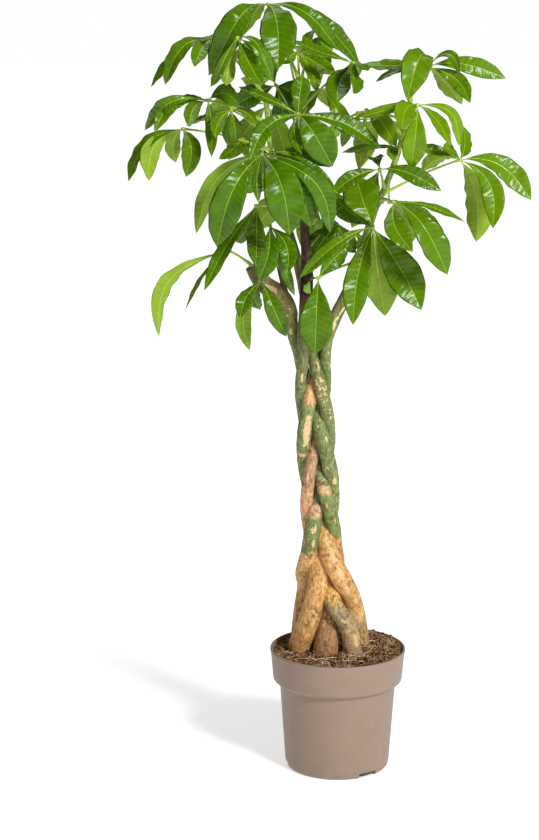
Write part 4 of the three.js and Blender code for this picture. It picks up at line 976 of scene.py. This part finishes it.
LEAVES = {
    "leaf_01_upper_left": leaf((-189, -10, 1126), (-0.4, -0.5, 0.8), "trunk_3_back_left", 1040, 0.45, [
        (-71, -10, -67, 28, 30, 0.25), (-95, 20, -72, 22, 10, 0.15, 0.05), (-24, -60, -39, 24, 30, 0.1),
        (23, 70, -41, 29, 0, 0.3, 0.15)], backward=(3,)),
    "leaf_02_crown": leaf((-109, 0, 1175), (0, -0.5, 0.9), "trunk_1_middle", 1063, 0.3, [
        (-86, -30, -102, 44, 28, 0.4, 0.2), (17, -75, -91, 54, 0, 0.2, 0.05),
        (104, 10, -67, 26, 40, 0.25, -0.1), (138, 50, -94, 28, 40, 0.12, 0.05), (-42, 70, -48, 28),
        (22, 80, -52, 24)], backward=(4, 5)),
    "leaf_03_upper_left_front": leaf((-149, -98, 1129), (0.1, -0.7, 0.7), "trunk_3_back_left", 1030, 0.4, [
        (41, -30, -31, 12, 10, 0.2, 0.1), (36, -30, -66, 33, 10, -0.05), (-15, -30, -66, 23, 0, 0.3),
        (-40, 20, -70, 16, 15, 0.2, 0.1), (49, 20, -62, 25, 20, 0.2)], backward=(2,)),
    "leaf_04_crown_back": leaf((-99, 60, 1055), (0, -0.9, 0.4), "trunk_1_middle", 985, 0.15, [
        (-60, 30, -30, 35, 15, 0.05), (34, 14, -19, 38, 5, 0.1), (13, 30, -58, 36),
        (-28, 36, 30, 30, 10, 0.1, -0.1)]),
    "leaf_05_crown_young": leaf((-65, 34, 1105), (0.1, -0.7, 0.7), "trunk_1_middle", 1048, 0.65, [
        (57, -40, -31, 24, 30, 0), (28, -30, -57, 24, -12, 0.1, 0.05), (-21, -20, -17, 18, 20),
        (50, 50, -18, 33, 30, 0.2, 0.1), (22, 60, -42, 26)], backward=(4,)),
    "leaf_06_crown_right": leaf((-41, 52, 1139), (0, -0.7, 0.7), "trunk_1_middle", 1056, 0.9, [
        (-15, -20, -25, 15, 10, 0, -0.05), (26, -20, -34, 20, 10, 0.1, 0.05),
        (17, 60, -18, 24, -15)], backward=(2,)),
    "leaf_07_upper_middle": leaf((17, -20, 1091), (0.1, -0.8, 0.6), "trunk_1_middle", 1022, 0.35, [
        (-91, -30, 33, 24, -17, 0.05, 0.05), (-23, -60, -54, 37, 0, -0.05, -0.1),
        (0, -70, -41, 36, -50, 0.05), (21, -60, -9, 21, -12, 0), (5, 50, -25, 20)], backward=(4,)),
    "leaf_08_upper_right": leaf((126, -40, 1087), (0.1, -0.6, 0.8), "trunk_5_back_right", 1064, 0.5, [
        (-103, 30, 0, 23, 0, 0), (-76, 40, -24, 15, 20, 0.1), (-32, -70, -45, 43, 10, 0.48, -0.05),
        (43, -50, -13, 14, 35, 0.3, 0.25), (113, 0, -17, 27, 45, 0.12), (60, -30, -51, 24, 40, 0, 0.2),
        (53, 60, -58, 32, 0, 0.05)], backward=(6,)),
    "leaf_09_right_arching": leaf((110, -70, 1033), (0.1, -0.7, 0.7), "trunk_5_back_right", 995, 0.8, [
        (-23, -80, -30, 33, 10, 0.1, -0.1), (-84, -10, -17, 17, 20, 0.17, 0.1), (-8, 0, -92, 35, 10, 0.2),
        (62, 10, -60, 19, 20, 0.33, 0.1), (46, -50, -55, 20, 5, 0.1, 0.05)]),
    "leaf_10_right_inner": leaf((37, -10, 1022), (0, -0.8, 0.6), "trunk_5_back_right", 985, 0.75, [
        (44, -50, -50, 29, 15, 0.2), (-10, 10, -90, 20, 0, 0), (-36, 20, -56, 16, 20, 0.2)], backward=(1,)),
    "leaf_11_right_middle": leaf((87, -30, 969), (0, -0.6, 0.8), "trunk_5_back_right", 940, 0.6, [
        (79, 10, -12, 18, 17, 0.05), (-86, -10, -7, 16, 0, 0.05), (-12, -60, -15, 17, 10, 0.05, -0.1),
        (40, 90, -11, 33)], backward=(3,)),
    "leaf_12_far_right": leaf((176, -20, 950), (0.3, -0.5, 0.8), "trunk_5_back_right", 895, 0.62, [
        (28, 30, -125, 48, 0, 0.1, -0.05), (48, -30, -98, 33, 45, 0.15, 0.15),
        (106, 0, -59, 36, 40, 0.15, 0.1), (6, 50, 47, 28, 0, 0, -0.1), (-28, -50, 23, 26, 25, 0.05),
        (-54, 60, -22, 26, 0, 0.1, 0.1)], backward=(0, 3, 5)),
    "leaf_13_right_front": leaf((57, -60, 939), (0, -0.7, 0.7), "trunk_5_back_right", 905, 0.3, [
        (89, -20, -29, 26, 30, 0.15), (-71, -20, -37, 24, 20, 0.1, -0.05), (-17, 30, -54, 28, 10, 0.05),
        (-10, 60, 10, 26)]),
    "leaf_14_lower_right_front": leaf((47, -90, 858), (0.1, -0.8, 0.6), "trunk_5_back_right", 876, 0.42, [
        (-24, 30, 70, 55, 15, 0.1, 0.05), (-56, 50, 36, 28, 25, -0.05), (-106, -20, -72, 22, 10, 0.2),
        (-28, -40, -138, 38, 0, 0.05, -0.05), (20, 40, -137, 52, 0, -0.05),
        (25, 80, -100, 18, -20, 0.1, -0.05), (72, -10, -120, 52, 20, -0.05, 0.05)], backward=(4,)),
    "leaf_15_right_hanging": leaf((76, -110, 896), (0.2, -0.7, 0.7), "trunk_5_back_right", 888, 0.42, [
        (27, -60, -64, 33, 20, 0.05, -0.15), (79, -20, -102, 42, 20, 0.25, -0.05),
        (105, 30, -31, 14, 0, 0.1), (77, 60, -52, 18, 30, 0.05, 0.05)]),
    "leaf_16_front_star": leaf((-62, -110, 1022), (0, -1, 0.3), "trunk_1_middle", 975, 0.28, [
        (6, 10, 55, 29, 0, 0.15), (-86, 10, 38, 16, -18, 0.1), (-67, -50, -63, 26, 0, 0.1, -0.15),
        (6, -50, -53, 18, 20, 0.05, -0.1), (50, -20, -73, 48, 5, 0.35), (120, 20, -51, 28, -16, 0, 0.1)]),
    "leaf_17_front_large": leaf((-113, -130, 965), (0, -0.8, 0.6), "trunk_3_back_left", 985, 0.28, [
        (-97, 30, -117, 28, 0, 0.17, 0.12), (-64, -20, -130, 47, 15, 0.35), (-2, -70, -61, 14, 0, 0, -0.05),
        (41, -40, -110, 56, 5, 0.3, 0.05), (99, 10, -18, 22, 0, 0.2), (98, 40, -116, 33, 20, 0.35, 0.05),
        (109, -10, -54, 21, 20, 0.15, 0.05), (70, 25, -106, 34, 0, 0.3)], backward=(0,)),
    "leaf_18_left_upper": leaf((-195, -50, 1038), (-0.2, -0.7, 0.7), "trunk_3_back_left", 1000, 0.4, [
        (-95, 20, -45, 24, 30, 0.35, 0.1), (-75, -40, -44, 23, 20, 0.1, -0.2), (-50, 30, -2, 12, 10, 0.1),
        (-23, -60, -35, 22, 20, 0.1, -0.1), (10, -80, -76, 20, 0, 0.1, 0.05),
        (42, 20, -4, 31, 30, 0.25, 0.1)]),
    "leaf_19_left_inner": leaf((-159, -80, 1026), (-0.1, -0.8, 0.6), "trunk_3_back_left", 974, 0.5, [
        (-67, 15, -24, 18, -19, 0.05), (-21, -50, -37, 22, 15, 0.05, -0.1), (-8, 30, -52, 15, 20, 0, -0.05),
        (36, -20, -20, 16, 0, 0.1, 0.15), (5, 10, -46, 22, 0, 0.05, 0.05)]),
    "leaf_20_far_left": leaf((-231, -60, 997), (-0.3, -0.7, 0.7), "trunk_3_back_left", 960, 0.5, [
        (-81, 0, -77, 26, 0, 0.15, -0.12), (-47, -40, -72, 30, -40, 0.25, 0.05),
        (-14, 40, -52, 25, 0, 0.15, 0.1), (6, -30, -67, 30, 10, 0.2, 0.22)], backward=(1, 2)),
    "leaf_21_lower_left": leaf((-167, -40, 817), (-0.3, -0.7, 0.7), "trunk_2_left", 789, 0.5, [
        (-104, 0, -131, 28, 0, 0, 0.34), (-64, -5, -90, 11, -17, 0.05, -0.05),
        (-22, 30, -36, 15, 40, 0.05, 0.05)], backward=(0,)),
    "leaf_22_left_middle": leaf((-124, -70, 886), (-0.2, -0.8, 0.6), "trunk_3_back_left", 865, 0.35, [
        (-75, -25, -122, 22, 10, 0, -0.05), (3, -80, -78, 28, 5, -0.05), (-31, 30, -57, 21, 20, 0.1, 0.15)]),
    "leaf_23_lower_left_front": leaf((-118, -60, 774), (0, -0.8, 0.6), "trunk_2_left", 764, 0.3, [
        (-28, -40, -50, 24, 0, 0, -0.1), (-17, 20, -108, 24, 0, 0, 0.15), (39, -20, -80, 27, 10, 0.3, -0.05),
        (-3, 50, -51, 23, 0, 0.05, -0.1)], backward=(1,)),
    "leaf_24_lower_middle": leaf((-103, -80, 858), (0, -0.8, 0.6), "left_side_shoot", 788, 0.25, [
        (-16, -20, -77, 34, 0, 0.2, 0.1), (26, -40, -65, 28, 0, 0.05, 0.15),
        (36, 20, -106, 16, 0, 0.2, -0.05)]),
    "leaf_25_lower_front": leaf((-32, -90, 783), (0, -0.8, 0.6), "trunk_4_front_right", 800, 0.35, [
        (-4, -20, -110, 50, 0, 0.15), (42, 15, 45, 31, 40, 0.1), (-12, 50, -30, 22)]),
    "leaf_26_lower_back": leaf((-10, 40, 851), (0, -0.8, 0.6), "trunk_1_middle", 812, 0.3, [
        (-37, -12, -59, 42, 15, 0.15, 0.05), (33, -10, -46, 27, 10, 0.15, -0.05), (-11, -60, -19, 24, 10),
        (-16, 55, -46, 30, 0, 0.2, 0.1)], backward=(3,)),
    "leaf_27_behind_star": leaf((-29, 30, 1049), (0, -0.8, 0.6), "trunk_1_middle", 1012, 0.95, [
        (42, -10, -72, 26, 10, 0.2), (-29, -20, -35, 24, 10, 0.1, -0.1), (9, 60, -28, 28)], backward=(2,)),
    "leaf_28_left_back": leaf((-148, 28, 976), (0, -0.8, 0.6), "trunk_3_back_left", 940, 0.6, [
        (-35, -10, -29, 16, 15, 0, 0.05), (12, -20, -30, 21, 0, 0.1, 0.05), (28, 20, -56, 32, 15)]),
    "leaf_29_back_crown": back_leaf(
        (-85, 150, 1113), (0.1, 0.3, 0.9), "trunk_1_middle", 1028, 0.35, 105, 40),
    "leaf_30_back_left": back_leaf(
        (-115, 150, 1020), (0.1, 0.9, 0.5), "trunk_3_back_left", 990, 0.4, 105, 40),
    "leaf_31_back_right": back_leaf(
        (50, 120, 1000), (0, 0.4, 0.9), "trunk_5_back_right", 955, 0.6, 105, 10),
    "leaf_32_back_middle": back_leaf(
        (-50, 125, 895), (0, 0.9, 0.5), "trunk_1_middle", 900, 0.3, 115, 60),
    "leaf_33_back_far_right": back_leaf(
        (75, 100, 875), (0.2, 0.2, 0.9), "trunk_5_back_right", 926, 0.5, 110, 15),
    "leaf_34_back_lower_left": back_leaf(
        (-168, 127, 902), (-0.9, 0.2, 0.5), "trunk_3_back_left", 890, 0.35, 120, 30),
    "leaf_35_back_lower_right": back_leaf(
        (20, 120, 820), (0.5, 0.2, 0.8), "trunk_5_back_right", 830, 0.45, 120, 30),
}
print(len(LEAVES), "leaves with", sum(len(entry["leaflets"]) for entry in LEAVES.values()), "leaflets")

# %% [markdown]
# A leaflet could be a flat card with a picture of a leaf. Here it is a thin closed sheet instead: a grid
# that is bent along the midrib's bow, folded a little along the rib, waved and finely scalloped at its
# edges, quilted between the side veins, and rumpled a little all over. Veins leave the rib at a slant and
# curve towards the tip, so the quilting follows a slanted coordinate, which the leaf's material reads too.
# Rows of the grid are closer than the veins, and its columns crowd towards the rib, which stands out
# underneath.

# %% Leaflet dimensions
LEAF_THICKNESS = 0.55
RIB_DEPTH = 0.9
RIB_WIDTH = 0.75
RIB_FLATTENING = 0.75
RIB_NARROWING = 0.6
THINNING_POWER = 4
VEIN_SPACING = 8.5
VEIN_SLANT = 0.42
VEIN_CURVE_POWER = 1.3
VEIN_STAGGER = 0.35
QUILT_RISE = 2.0
QUILT_YOUNG_LOSS = 0.5
QUILT_RIB_POWER = 0.6
QUILT_EDGE_POWER = 5
RUMPLE_RISE = 1.1
RUMPLE_GRAIN = 13
RUMPLE_SEED = 90
BLADE_FOLD = 0.2
BLADE_FOLD_POWER = 1.25
BLADE_WAVE = 0.07
BLADE_WAVE_TURN = 9
BLADE_WAVE_SKEW = 1.3
EDGE_RIPPLE = 0.04
EDGE_SCALLOP = 0.018
EDGE_RIPPLE_TURN = 31
EDGE_POWER = 3
# The turn, bow and sweep of a leaflet whose row doesn't give them
BLADE_HABIT = (0, 0.16, 0)
BLADE_ARCH_POWER = 0.8
BLADE_ROOT_DEPTH = 1.2
BLADE_ROOT_POWER = 1.5
BLADE_TIP_POWER = 1
BLADE_TURN_END = 0.3
ROOT_HALF_WIDTH = 1.0
TIP_HALF_WIDTH = 0.25
FADE_ROOT = 0.08
FADE_TIP = 0.94
FULL_RELIEF_HALF = 12
LEAF_PHASE = 0.7
LEAFLET_PHASE = 1.9
ROW_SPACING = 1.8
FEWEST_ROWS = 16
COLUMNS = np.array([-1, -0.86, -0.64, -0.4, -0.18, -0.06, 0, 0.06, 0.18, 0.4, 0.64, 0.86, 1])
UPPER, UNDER, STALK = 0, 1, 2


def outline(share):
    return share ** BLADE_ROOT_POWER * (1 - share) ** BLADE_TIP_POWER


WIDEST_AT = BLADE_ROOT_POWER / (BLADE_ROOT_POWER + BLADE_TIP_POWER)
WIDEST = outline(WIDEST_AT)
print("a leaflet is widest at", round(WIDEST_AT, 2), "of its length")

# %% [markdown]
# A leaflet is worked out in three steps: where its midrib runs and which way the blade looks there, how the
# blade stands out from that at each point of its grid, and then its two faces, which share their edge.

# %% Leaflet
def quads(index, facing_up):
    """Four-sided faces between the rows and columns of a grid of point numbers."""
    a, b, c, d = index[:-1, :-1], index[:-1, 1:], index[1:, 1:], index[1:, :-1]
    order = (a, d, c, b) if facing_up else (a, b, c, d)
    return np.stack([corner.ravel() for corner in order], axis=1).tolist()


def blade_frame(hub, facing, row):
    """Shares of a leaflet's length, that length, and the midrib, normal and way aside at each share."""
    dx, dy, dz, _, turn, arch, sweep = (*row, *BLADE_HABIT[len(row) - 4:])
    reach = np.array((dx, dy, dz), float)
    length = np.linalg.norm(reach)
    along = reach / length
    up = unit(facing - facing.dot(along) * along)
    aside = np.cross(up, along)

    def midrib(shares):
        bow = arch * length * np.sin(np.pi * shares ** BLADE_ARCH_POWER)
        swept = sweep * length * np.sin(np.pi * shares)
        gone = shares + BLADE_ROOT_DEPTH / length * (1 - shares)
        return hub + reach * gone[:, None] + up * bow[:, None] + aside * swept[:, None]

    rows = max(FEWEST_ROWS, round(length / ROW_SPACING))
    shares = np.linspace(0, 1, rows + 1)
    tangents = unit(midrib(np.minimum(shares + 0.01, 1)) - midrib(np.maximum(shares - 0.01, 0)))
    normals = unit(up - tangents * (tangents @ up)[:, None])
    turns_to_front = 1 if np.cross(tangents[rows // 2], normals[rows // 2])[1] < 0 else -1
    twist = np.radians(turns_to_front * turn * smooth_step(0, BLADE_TURN_END, shares))[:, None]
    normals = normals * np.cos(twist) + np.cross(tangents, normals) * np.sin(twist)
    return shares, length, midrib(shares), normals, np.cross(normals, tangents)


def blade_relief(shares, length, width, phase, youth):
    """Each grid point's distance from the rib, lift, share of relief, heights over and under, and marks."""
    shape = outline(shares) / WIDEST
    half = np.maximum(width / 2 * shape, ROOT_HALF_WIDTH * (1 - shares) + TIP_HALF_WIDTH * shares)[:, None]
    across, s = np.meshgrid(COLUMNS, shares)
    outward = np.abs(across)
    fade = smooth_step(0, FADE_ROOT, s) * smooth_step(1, FADE_TIP, s)
    relief = fade * np.minimum(half / FULL_RELIEF_HALF, 1)

    wave = BLADE_WAVE * np.sin(BLADE_WAVE_TURN * s + phase + BLADE_WAVE_SKEW * np.sign(across))
    ripple = EDGE_RIPPLE * np.sin(EDGE_RIPPLE_TURN * s + 3 * phase + across) * outward ** EDGE_POWER
    lift = ((BLADE_FOLD + 2 * wave) * outward ** BLADE_FOLD_POWER + 2 * ripple) * half * fade
    scallops = EDGE_SCALLOP * np.sin(EDGE_RIPPLE_TURN * s + phase + across) * outward ** EDGE_POWER
    distance = across * half * (1 + scallops * fade)

    vein = (s * length - VEIN_SLANT * outward ** VEIN_CURVE_POWER * half) / VEIN_SPACING
    vein += VEIN_STAGGER * np.sign(across)
    bulge = 0.5 - 0.5 * np.cos(2 * np.pi * vein)
    quilt = QUILT_RISE * (1 - QUILT_YOUNG_LOSS * youth) * bulge * relief
    quilt *= outward ** QUILT_RIB_POWER * (1 - outward ** QUILT_EDGE_POWER)
    rib = RIB_DEPTH * np.exp(-(distance / RIB_WIDTH) ** 2) * (1 - RIB_FLATTENING * s) * fade
    half_thickness = LEAF_THICKNESS / 2 * (1 - across ** THINNING_POWER)
    marks = {"rib": distance / (RIB_WIDTH * (1 - RIB_NARROWING * s)), "vein": vein, "bulge": bulge}
    return distance, lift, relief, quilt + half_thickness, quilt - half_thickness - rib, marks


def leaflet(hub, facing, row, phase, youth):
    """One leaflet as a closed sheet, with an upper and an under face that meet at its edge."""
    shares, length, midrib, normals, sideways = blade_frame(hub, facing, row)
    distance, lift, relief, over, below, marks = blade_relief(shares, length, row[3], phase, youth)
    flat = midrib[:, None] + sideways[:, None] * distance[..., None]
    lift = lift + RUMPLE_RISE * smooth_noise(flat, RUMPLE_GRAIN, RUMPLE_SEED) * relief
    upper = flat + normals[:, None] * (lift + over)[..., None]
    under = flat + normals[:, None] * (lift + below)[..., None]
    inner = np.zeros(distance.shape, bool)
    inner[1:-1, 1:-1] = True
    upper[~inner] = (flat + normals[:, None] * lift[..., None])[~inner]
    top = np.arange(distance.size).reshape(distance.shape)
    bottom = top.copy()
    bottom[inner] = distance.size + np.arange(inner.sum())
    points = np.concatenate([upper.reshape(-1, 3), under[inner]])
    marks = {name: np.concatenate([value.ravel(), value[inner]]) for name, value in marks.items()}
    upper_faces, under_faces = quads(top, True), quads(bottom, False)
    finishes = [UPPER] * len(upper_faces) + [UNDER] * len(under_faces)
    return part(points, upper_faces + under_faces, finishes, youth=youth, **marks)


# %% [markdown]
# The stalk bends over from its trunk to the hub, and swells where it leaves the trunk and just under the
# hub: those are the joints with which the plant turns its leaves to the light. The hub is a small knob.

# %% Stalk and hub
STALK_FOOT_RADIUS = 2.1
STALK_TIP_RADIUS = 1.4
STALK_BEND_AT = 0.55
STALK_RISE = 0.12
STALK_BACK = 0.1
STALK_SIDES = 10
STALK_STEP = 4
FEWEST_STALK_RINGS = 12
JOINT_SWELL = 1.3
JOINT_LENGTH = 7
HUB_RADIUS = 3.6
# What a leaf's materials read on the stalk: it is far from any rib, and has no veins
NO_VEINS = {"rib": 9, "vein": 0, "bulge": 0}


def stalk(foot, hub, facing, youth):
    span = np.linalg.norm(hub - foot)
    bend = foot + (hub - foot) * STALK_BEND_AT
    bend = bend + (0, 0, STALK_RISE * span) - facing * STALK_BACK * span
    shares = np.linspace(0, 1, max(FEWEST_STALK_RINGS, round(span / STALK_STEP)))[:, None]
    line = foot * (1 - shares) ** 2 + bend * 2 * shares * (1 - shares) + hub * shares ** 2
    gone = shares[:, 0] * span
    radii = STALK_FOOT_RADIUS + (STALK_TIP_RADIUS - STALK_FOOT_RADIUS) * shares[:, 0]
    radii += JOINT_SWELL * np.exp(-((span - gone) / JOINT_LENGTH) ** 2)
    radii += JOINT_SWELL * np.exp(-((gone - STALK_FOOT_RADIUS) / (2 * JOINT_LENGTH)) ** 2)
    rings, _, faces = tube(line, radii, STALK_SIDES)
    return part(with_ends(rings, line), faces, STALK, youth=youth, **NO_VEINS)


def hub_knob(hub, youth):
    return part(hub + ball_points * HUB_RADIUS, ball_faces, STALK, youth=youth, **NO_VEINS)


print("stalks taper from", STALK_FOOT_RADIUS, "to", STALK_TIP_RADIUS, "mm")

# %% [markdown]
# A leaf's upper skin is a clear waxy layer over green tissue, so it shines; its colour is mottled at random
# between deep and fresher green. On top of that, painted shade darkens it in the grooves beside the veins
# and painted light makes the raised bulges between them fresher. The midrib and the side veins are paler.
# The under skin is lighter, duller and shows the veins more. Both skins are made by one function, because
# they are one leaf.

# %% Leaf skins
def leaf_skin(name, deep, fresh, young, vein_colour, rib_colour, vein_share, roughness, gloss):
    material, tree, shader = new_material(name, {
        "Roughness": roughness, "IOR": 1.45, "Specular IOR Level": gloss})
    marks = {mark: add_node(tree, "ShaderNodeAttribute", attribute_name=mark).outputs["Fac"]
        for mark in ("youth", "rib", "vein", "bulge")}
    places = add_node(tree, "ShaderNodeTexCoord").outputs["Object"]
    patches = add_node(tree, "ShaderNodeTexNoise", {"Vector": places, "Scale": 1 / (16 * MM), "Detail": 3})
    # Random mottling plus painted light and shade on the quilting: fresher green on the raised bulges,
    # deeper green in the sunken grooves beside the side veins
    mottle_and_bulge_light = add_node(tree, "ShaderNodeMath", {
        0: marks["bulge"], 1: 0.45, 2: patches}, operation="MULTIPLY_ADD")
    mottle_and_groove_shade = add_node(tree, "ShaderNodeMapRange", {
        "Value": mottle_and_bulge_light, "From Min": 0.35, "From Max": 1.05})
    mature = add_node(tree, "ShaderNodeMix", {
        SHARE: mottle_and_groove_shade, FIRST: rgba(deep), SECOND: rgba(fresh)}, data_type="RGBA")
    aged = add_node(tree, "ShaderNodeMix", {
        SHARE: marks["youth"], FIRST: mature, SECOND: rgba(young)}, data_type="RGBA")

    turn = add_node(tree, "ShaderNodeMath", {0: marks["vein"]}, operation="FRACT")
    middle = add_node(tree, "ShaderNodeMath", {0: turn, 1: 0.5}, operation="SUBTRACT")
    reach = add_node(tree, "ShaderNodeMath", {0: middle}, operation="ABSOLUTE")
    line = add_node(tree, "ShaderNodeMapRange", {
        "Value": reach, "From Min": 0.4, "From Max": 0.49, "To Max": vein_share})
    veined = add_node(tree, "ShaderNodeMix", {
        SHARE: line, FIRST: aged, SECOND: rgba(vein_colour)}, data_type="RGBA")
    beside = add_node(tree, "ShaderNodeMath", {0: marks["rib"]}, operation="ABSOLUTE")
    rib = add_node(tree, "ShaderNodeMapRange", {
        "Value": beside, "From Min": 1.0, "From Max": 0.6, "To Max": 0.75})
    ribbed = add_node(tree, "ShaderNodeMix", {
        SHARE: rib, FIRST: veined, SECOND: rgba(rib_colour)}, data_type="RGBA")
    pores = add_node(tree, "ShaderNodeTexNoise", {"Vector": places, "Scale": 1 / (1.4 * MM), "Detail": 2})
    bump = add_node(tree, "ShaderNodeBump", {"Height": pores, "Strength": 0.05, "Distance": 0.3 * MM})
    feed(tree, shader, {"Base Color": ribbed, "Normal": bump})
    return material


def stalk_skin():
    """Stalks are smooth and slightly waxy, yellow-green when young."""
    material, tree, shader = new_material("yellow-green leaf stalk", {
        "Roughness": 0.42, "IOR": 1.45, "Specular IOR Level": 0.4})
    youth = add_node(tree, "ShaderNodeAttribute", attribute_name="youth")
    colour = add_node(tree, "ShaderNodeMix", {
        SHARE: youth.outputs["Fac"], FIRST: rgba("#7FA02C"), SECOND: rgba("#B4C84A")}, data_type="RGBA")
    feed(tree, shader, {"Base Color": colour})
    return material


upper_skin = leaf_skin("waxy upper leaf skin", "#122C00", "#386600", "#6A8C06",
    "#588410", "#9CBC3C", 0.25, 0.26, 0.21)
under_skin = leaf_skin("dull under leaf skin", "#4C7410", "#6A9424", "#92A82A",
    "#9CB64A", "#BCCC68", 0.5, 0.5, 0.2)
leaf_materials = [upper_skin, under_skin, stalk_skin()]
print("leaf materials:", [material.name for material in leaf_materials])

# %% [markdown]
# Each leaf is one piece, as it would fall from the plant: its stalk, its hub and its leaflets.

# %% Grow the leaves
def grow_leaf(number, entry):
    hub = np.array(entry["hub"], float)
    facing = unit(np.array(entry["facing"], float))
    turned_back = facing * (1, -1, 1)
    foot = point_at_height(lines[entry["stem"]], entry["height"])
    parts = [stalk(foot, hub, facing, entry["youth"]), hub_knob(hub, entry["youth"])]
    for i, row in enumerate(entry["leaflets"]):
        faces = turned_back if i in entry["backward"] else facing
        phase = LEAF_PHASE * number + LEAFLET_PHASE * i
        parts.append(leaflet(hub, faces, row, phase, entry["youth"]))
    return parts


for number, (name, entry) in enumerate(LEAVES.items()):
    piece = make_piece(name + "_foliage", grow_leaf(number, entry), leaf_materials, [name])
    print(piece.name, "has", len(piece.data.polygons), "faces")

# %% [markdown]
# The floor is a wide sheet of matt white. A studio lights its backdrop with lamps of their own, so that it
# comes out plain white. Here the floor glows instead: faintly near the pot, so that it still takes the
# plant's soft shadow, and fully from 2.5 metres away, so that no horizon shows. It doesn't glow under the
# pot, where the glow would show through the notches. Distances are in metres.

# %% Floor
NEAR_GLOW = 0.5
FAR_GLOW = 1.0
UNDER_POT = (0.072, 0.077)
GLOW_START = 0.5
GLOW_FULL = 2.5
FLOOR_SIZE = 60
FLOOR_GAP = 0.0002


def studio_white():
    material, tree, shader = new_material("matt white studio floor", {
        "Base Color": rgba("#F4F4F4"), "Roughness": 0.9, "Specular IOR Level": 0.1,
        "Emission Color": (1, 1, 1, 1)})
    places = add_node(tree, "ShaderNodeTexCoord").outputs["Object"]
    away = add_node(tree, "ShaderNodeVectorMath", {0: places}, operation="LENGTH")
    glow = add_node(tree, "ShaderNodeMapRange", {
        "Value": away, "From Min": GLOW_START, "From Max": GLOW_FULL,
        "To Min": NEAR_GLOW, "To Max": FAR_GLOW})
    beside = add_node(tree, "ShaderNodeMapRange", {
        "Value": away, "From Min": UNDER_POT[0], "From Max": UNDER_POT[1], "To Max": glow})
    feed(tree, shader, {"Emission Strength": beside})
    return material


bpy.ops.mesh.primitive_plane_add(size=FLOOR_SIZE, location=(0, 0, -FLOOR_GAP))
floor = bpy.context.object
floor.name = "studio floor"
floor.data.materials.append(studio_white())
print("floor", FLOOR_SIZE, "m wide")

# %% [markdown]
# The light is a plain product set. One strong light stands high at the front right and throws the shadow to
# the back left; it is fairly small, so that the shadow keeps its shape. The others are soft and much
# weaker: one at the left, one above for the leaves' shine, and one behind that catches the edges of the
# leaves. The room around is dim, and plain white only where the camera looks straight at it.

# %% Lights
def soft_light(name, place, aim, size, watts):
    data = bpy.data.lights.new(name, "AREA")
    data.shape = "DISK"
    data.size = size
    data.energy = watts
    light = bpy.data.objects.new(name, data)
    light.location = place
    way = np.array(aim, float) - np.array(place, float)
    light.rotation_euler = (math.pi / 2 + math.atan2(way[2], math.hypot(way[0], way[1])), 0,
        math.atan2(-way[0], way[1]))
    bpy.context.scene.collection.objects.link(light)
    return light


PLANT_MIDDLE = (-0.02, 0, 0.75)
ROOM_GLOW = 0.06
BACKDROP_GLOW = 1.0
soft_light("key", (1.7, -2.35, 2.3), PLANT_MIDDLE, 0.7, 120)
soft_light("fill", (-2.3, -2.2, 1.5), PLANT_MIDDLE, 1.8, 1.5)
soft_light("top", (-0.4, 0.3, 3.0), PLANT_MIDDLE, 1.0, 16)
soft_light("back", (-1.0, 1.6, 2.6), PLANT_MIDDLE, 1.2, 12)

world = bpy.data.worlds.new("pale room")
world.use_nodes = True
room = world.node_tree
path = add_node(room, "ShaderNodeLightPath")
brightness = add_node(room, "ShaderNodeMapRange", {
    "Value": path.outputs["Is Camera Ray"], "To Min": ROOM_GLOW, "To Max": BACKDROP_GLOW})
feed(room, room.nodes["Background"], {"Color": (1, 1, 1, 1), "Strength": brightness})
bpy.context.scene.world = world
bpy.context.scene.view_settings.view_transform = "Standard"
